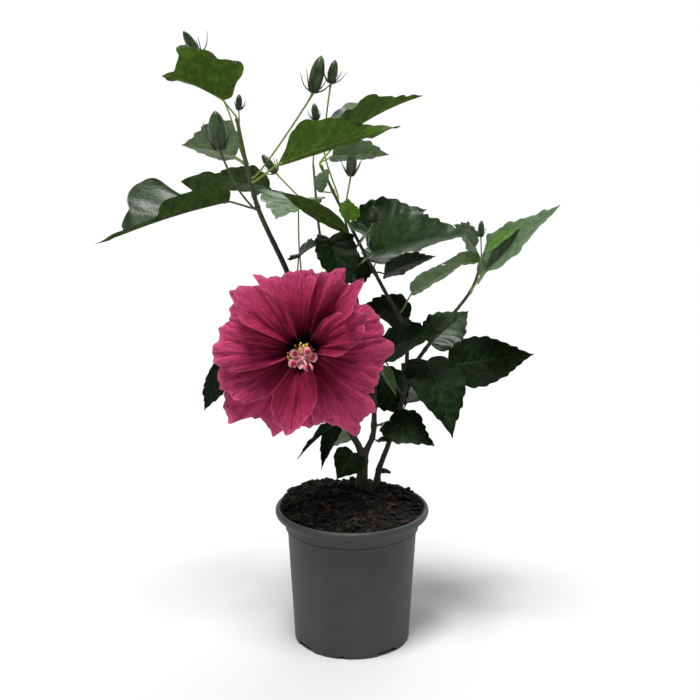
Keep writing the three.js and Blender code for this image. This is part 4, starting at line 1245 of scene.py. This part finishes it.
soil = {"rows": 90, "turns": 200, "radius": 79.2, "top": soilTop, "edge": 150, "crumbs": 2600,
        "fibres": 60}


def soilBase(x, y):
    fromStems = math.hypot(x - 20, y - 32)
    t = min(max((fromStems - 22) / 12, 0), 1)
    level = 1 - t * t * (3 - 2 * t)
    fromMiddle = math.hypot(x, y) / 70
    # The surface falls less towards the back.
    fall = 0.45 if y > 20 else 0.45 + 0.55 * min((20 - y) / 25, 1)
    mound = soil["top"] + 2 - (soil["top"] + 2 - soil["edge"]) * fromMiddle ** 2 * fall
    mound += 1.6 * math.sin(x / 9) * math.cos(y / 11 + 1)
    mound = max(min(mound, soil["top"] + 3), soil["edge"] - 3)
    return mound + (soil["top"] - mound) * level


def soilHeight(x, y):
    p = np.array([x, y, 0.0])
    lumps = 3.2 * noise.noise(p * 0.07) + 2.2 * noise.noise(p * 0.19) + 1.3 * noise.noise(p * 0.45)
    heap = 7 * math.exp(-((x + 42) ** 2 + (y - 26) ** 2) / 1100)
    return soilBase(x, y) + lumps + heap


def soilMaterial(name, dark, light, width):
    material, tree, shader = newMaterial(name, **{"IOR": 1.4, "Roughness": 0.92})
    place = addNode(tree, "TexCoord").outputs["Object"]
    grains = addNoise(tree, place, patternScale(width), 5.0, Roughness=0.7)
    tree.links.new(ramp(tree, grains, [(0.38, dark), (0.66, light)]), shader.inputs["Base Color"])
    addRelief(tree, shader, grains, 0.9, 0.0012)
    return material


# Compost: dark peat in crumbs, with shreds of bark, moss and pale root fibres.
peat = soilMaterial("peat compost", "#030202", "#120D09", 1.8)
peatLoose = soilMaterial("peat crumbs", "#040302", "#140E09", 1.2)
barkShred = soilMaterial("bark shreds", "#20160D", "#4A3624", 1.6)
mossShred = soilMaterial("moss crumbs", "#15180A", "#34371A", 1.2)

soilHeap = newHeap()
turns = np.arange(soil["turns"]) / soil["turns"] * 2 * math.pi
grid = []
for radius in np.linspace(0.4, soil["radius"], soil["rows"]):
    for turn in turns:
        x, y = radius * math.cos(turn), radius * math.sin(turn)
        z = soilHeight(x, y)
        if radius > 70:
            z = min(z, 153.5) if y < 10 else min(z, 159.5)
        wallAt = 79.4 if z > 152 else 77.5 if z > 149 else 74.5
        shrink = min(1.0, wallAt / radius)
        grid.append((x * shrink, y * shrink, z))
pour(soilHeap, grid, gridFaces(soil["rows"], soil["turns"], closed=True))
addHeap("compost", soilHeap, peat, ["root_ball"])

golden = (1 + 5 ** 0.5) / 2
icoPoints = unit(np.array([(-1, golden, 0), (1, golden, 0), (-1, -golden, 0), (1, -golden, 0),
                           (0, -1, golden), (0, 1, golden), (0, -1, -golden), (0, 1, -golden),
                           (golden, 0, -1), (golden, 0, 1), (-golden, 0, -1), (-golden, 0, 1)], float))
icoFaces = np.array([(0, 11, 5), (0, 5, 1), (0, 1, 7), (0, 7, 10), (0, 10, 11), (1, 5, 9), (5, 11, 4),
                     (11, 10, 2), (10, 7, 6), (7, 1, 8), (3, 9, 4), (3, 4, 2), (3, 2, 6), (3, 6, 8),
                     (3, 8, 9), (4, 9, 5), (2, 4, 11), (6, 2, 10), (8, 6, 7), (9, 8, 1)])
crumbSeed = np.random.default_rng(3)
crumbHeaps = {"loose": newHeap(), "bark": newHeap(), "moss": newHeap()}
for k in range(soil["crumbs"]):
    radius = 78.2 * math.sqrt(crumbSeed.uniform())
    turn = crumbSeed.uniform(0, 2 * math.pi)
    x, y = radius * math.cos(turn), radius * math.sin(turn)
    size = 0.7 + 3.6 * crumbSeed.uniform() ** 2.8
    z = soilHeight(x, y) + size * 0.2
    if radius > 70:
        z = min(z, 155 if y < 10 else 161)
    kind = crumbSeed.choice(["loose", "bark", "moss"], p=[0.8, 0.11, 0.09])
    stretch = (1, 1, 0.8) if kind != "bark" else (2.2, 0.8, 0.4)
    shape = icoPoints * crumbSeed.uniform(0.7, 1.25, (12, 1)) * size * np.array(stretch)
    turnA, turnB = crumbSeed.uniform(0, 2 * math.pi), crumbSeed.uniform(-0.6, 0.6)
    spin = np.array([[math.cos(turnA), -math.sin(turnA), 0], [math.sin(turnA), math.cos(turnA), 0],
                     [0, 0, 1]])
    tilt = np.array([[1, 0, 0], [0, math.cos(turnB), -math.sin(turnB)],
                     [0, math.sin(turnB), math.cos(turnB)]])
    pour(crumbHeaps[kind], shape @ tilt.T @ spin.T + (x, y, z), icoFaces)
for k in range(soil["fibres"]):
    radius, turn = 70 * math.sqrt(crumbSeed.uniform()), crumbSeed.uniform(0, 2 * math.pi)
    x, y = radius * math.cos(turn), radius * math.sin(turn)
    heading = crumbSeed.uniform(0, 360)
    points = [np.array([x, y, 0.0])]
    for _ in range(4):
        heading += crumbSeed.uniform(-50, 50)
        points.append(points[-1] + direction(heading, 0) * crumbSeed.uniform(2, 5))
    points = [np.array([p[0], p[1], soilHeight(p[0], p[1]) + 0.8 + crumbSeed.uniform(0, 1.4)])
              for p in points
              if math.hypot(p[0], p[1]) < 76]
    if len(points) > 2:
        pourTube(crumbHeaps["bark"], smoothPath(points, 14), crumbSeed.uniform(0.2, 0.4), 5)
addHeap("compost_crumbs", crumbHeaps["loose"], peatLoose, smooth=False)
addHeap("compost_bark", crumbHeaps["bark"], barkShred, smooth=False)
addHeap("compost_moss", crumbHeaps["moss"], mossShred, smooth=False)
print("compost laid")

# Sizes in metres, light in watts.
floorMesh = bpy.data.meshes.new("floor")
floorReach = 90
floorMesh.from_pydata([(-floorReach, -floorReach, 0), (floorReach, -floorReach, 0),
                       (floorReach, floorReach, 0), (-floorReach, floorReach, 0)],
                      [], [(0, 1, 2, 3)])
floor = bpy.data.objects.new("floor", floorMesh)
bpy.context.scene.collection.objects.link(floor)
paper, _, paperShader = newMaterial("white paper floor",
                                    **{"Roughness": 0.9, "Specular IOR Level": 0.1})
paperShader.inputs["Base Color"].default_value = linear("#CDCDCC")
floorMesh.materials.append(paper)

# The studio: a white sweep behind, dimmer towards the viewer, and white all round at the horizon.
studioLight = {"behind": 0.8, "front": 0.06, "horizon": 0.1, "white": 1.36, "exposure": -0.42}
world = bpy.data.worlds.new("studio")
bpy.context.scene.world = world
world.use_nodes = True
worldTree = world.node_tree
skyWay = addNode(worldTree, "SeparateXYZ", {
    "Vector": addNode(worldTree, "TexCoord").outputs["Generated"]})
sweep = addNode(worldTree, "MapRange", {"Value": skyWay.outputs["Y"], "From Min": -0.9, "From Max": 0.8,
                                        "To Min": studioLight["front"],
                                        "To Max": studioLight["behind"]})
above = addNode(worldTree, "MapRange", {"Value": skyWay.outputs["Z"],
                                        "From Min": studioLight["horizon"],
                                        "From Max": studioLight["horizon"] * 2.5,
                                        "To Min": studioLight["white"],
                                        "To Max": 0.0})
level = addNode(worldTree, "Math", {0: sweep.outputs["Result"], 1: above.outputs["Result"]},
                operation="MAXIMUM")
worldTree.links.new(level.outputs[0], worldTree.nodes["Background"].inputs["Strength"])
worldTree.nodes["Background"].inputs["Color"].default_value = linear("#FFFFFF")


def addSun(name, heading, rise, strength, softness):
    light = bpy.data.lights.new(name, "SUN")
    light.energy = strength
    light.angle = math.radians(softness)
    lamp = bpy.data.objects.new(name, light)
    bpy.context.scene.collection.objects.link(lamp)
    lamp.rotation_mode = "QUATERNION"
    lamp.rotation_quaternion = Vector(direction(heading, rise)).to_track_quat("Z", "Y")
    return lamp


addSun("top light", -108, 74, 5.2, 20)
addSun("window behind", 72, 36, 1.1, 50)

cameraData = bpy.data.cameras.new("camera")
cameraData.lens, cameraData.sensor_width = 68.9, 36
cameraData.clip_start, cameraData.clip_end = 0.05, 200
camera = bpy.data.objects.new("camera", cameraData)
bpy.context.scene.collection.objects.link(camera)
camera.location = (-0.0022, -1.4, 0.69)
camera.rotation_euler = (math.radians(90 - 14.3), 0, 0)
bpy.context.scene.camera = camera
bpy.context.scene.view_settings.view_transform = "Standard"
bpy.context.scene.view_settings.exposure = studioLight["exposure"]

for name, count in sorted(pieceCount.items()):
    print(name, count, "triangles")
print("all", sum(pieceCount.values()))
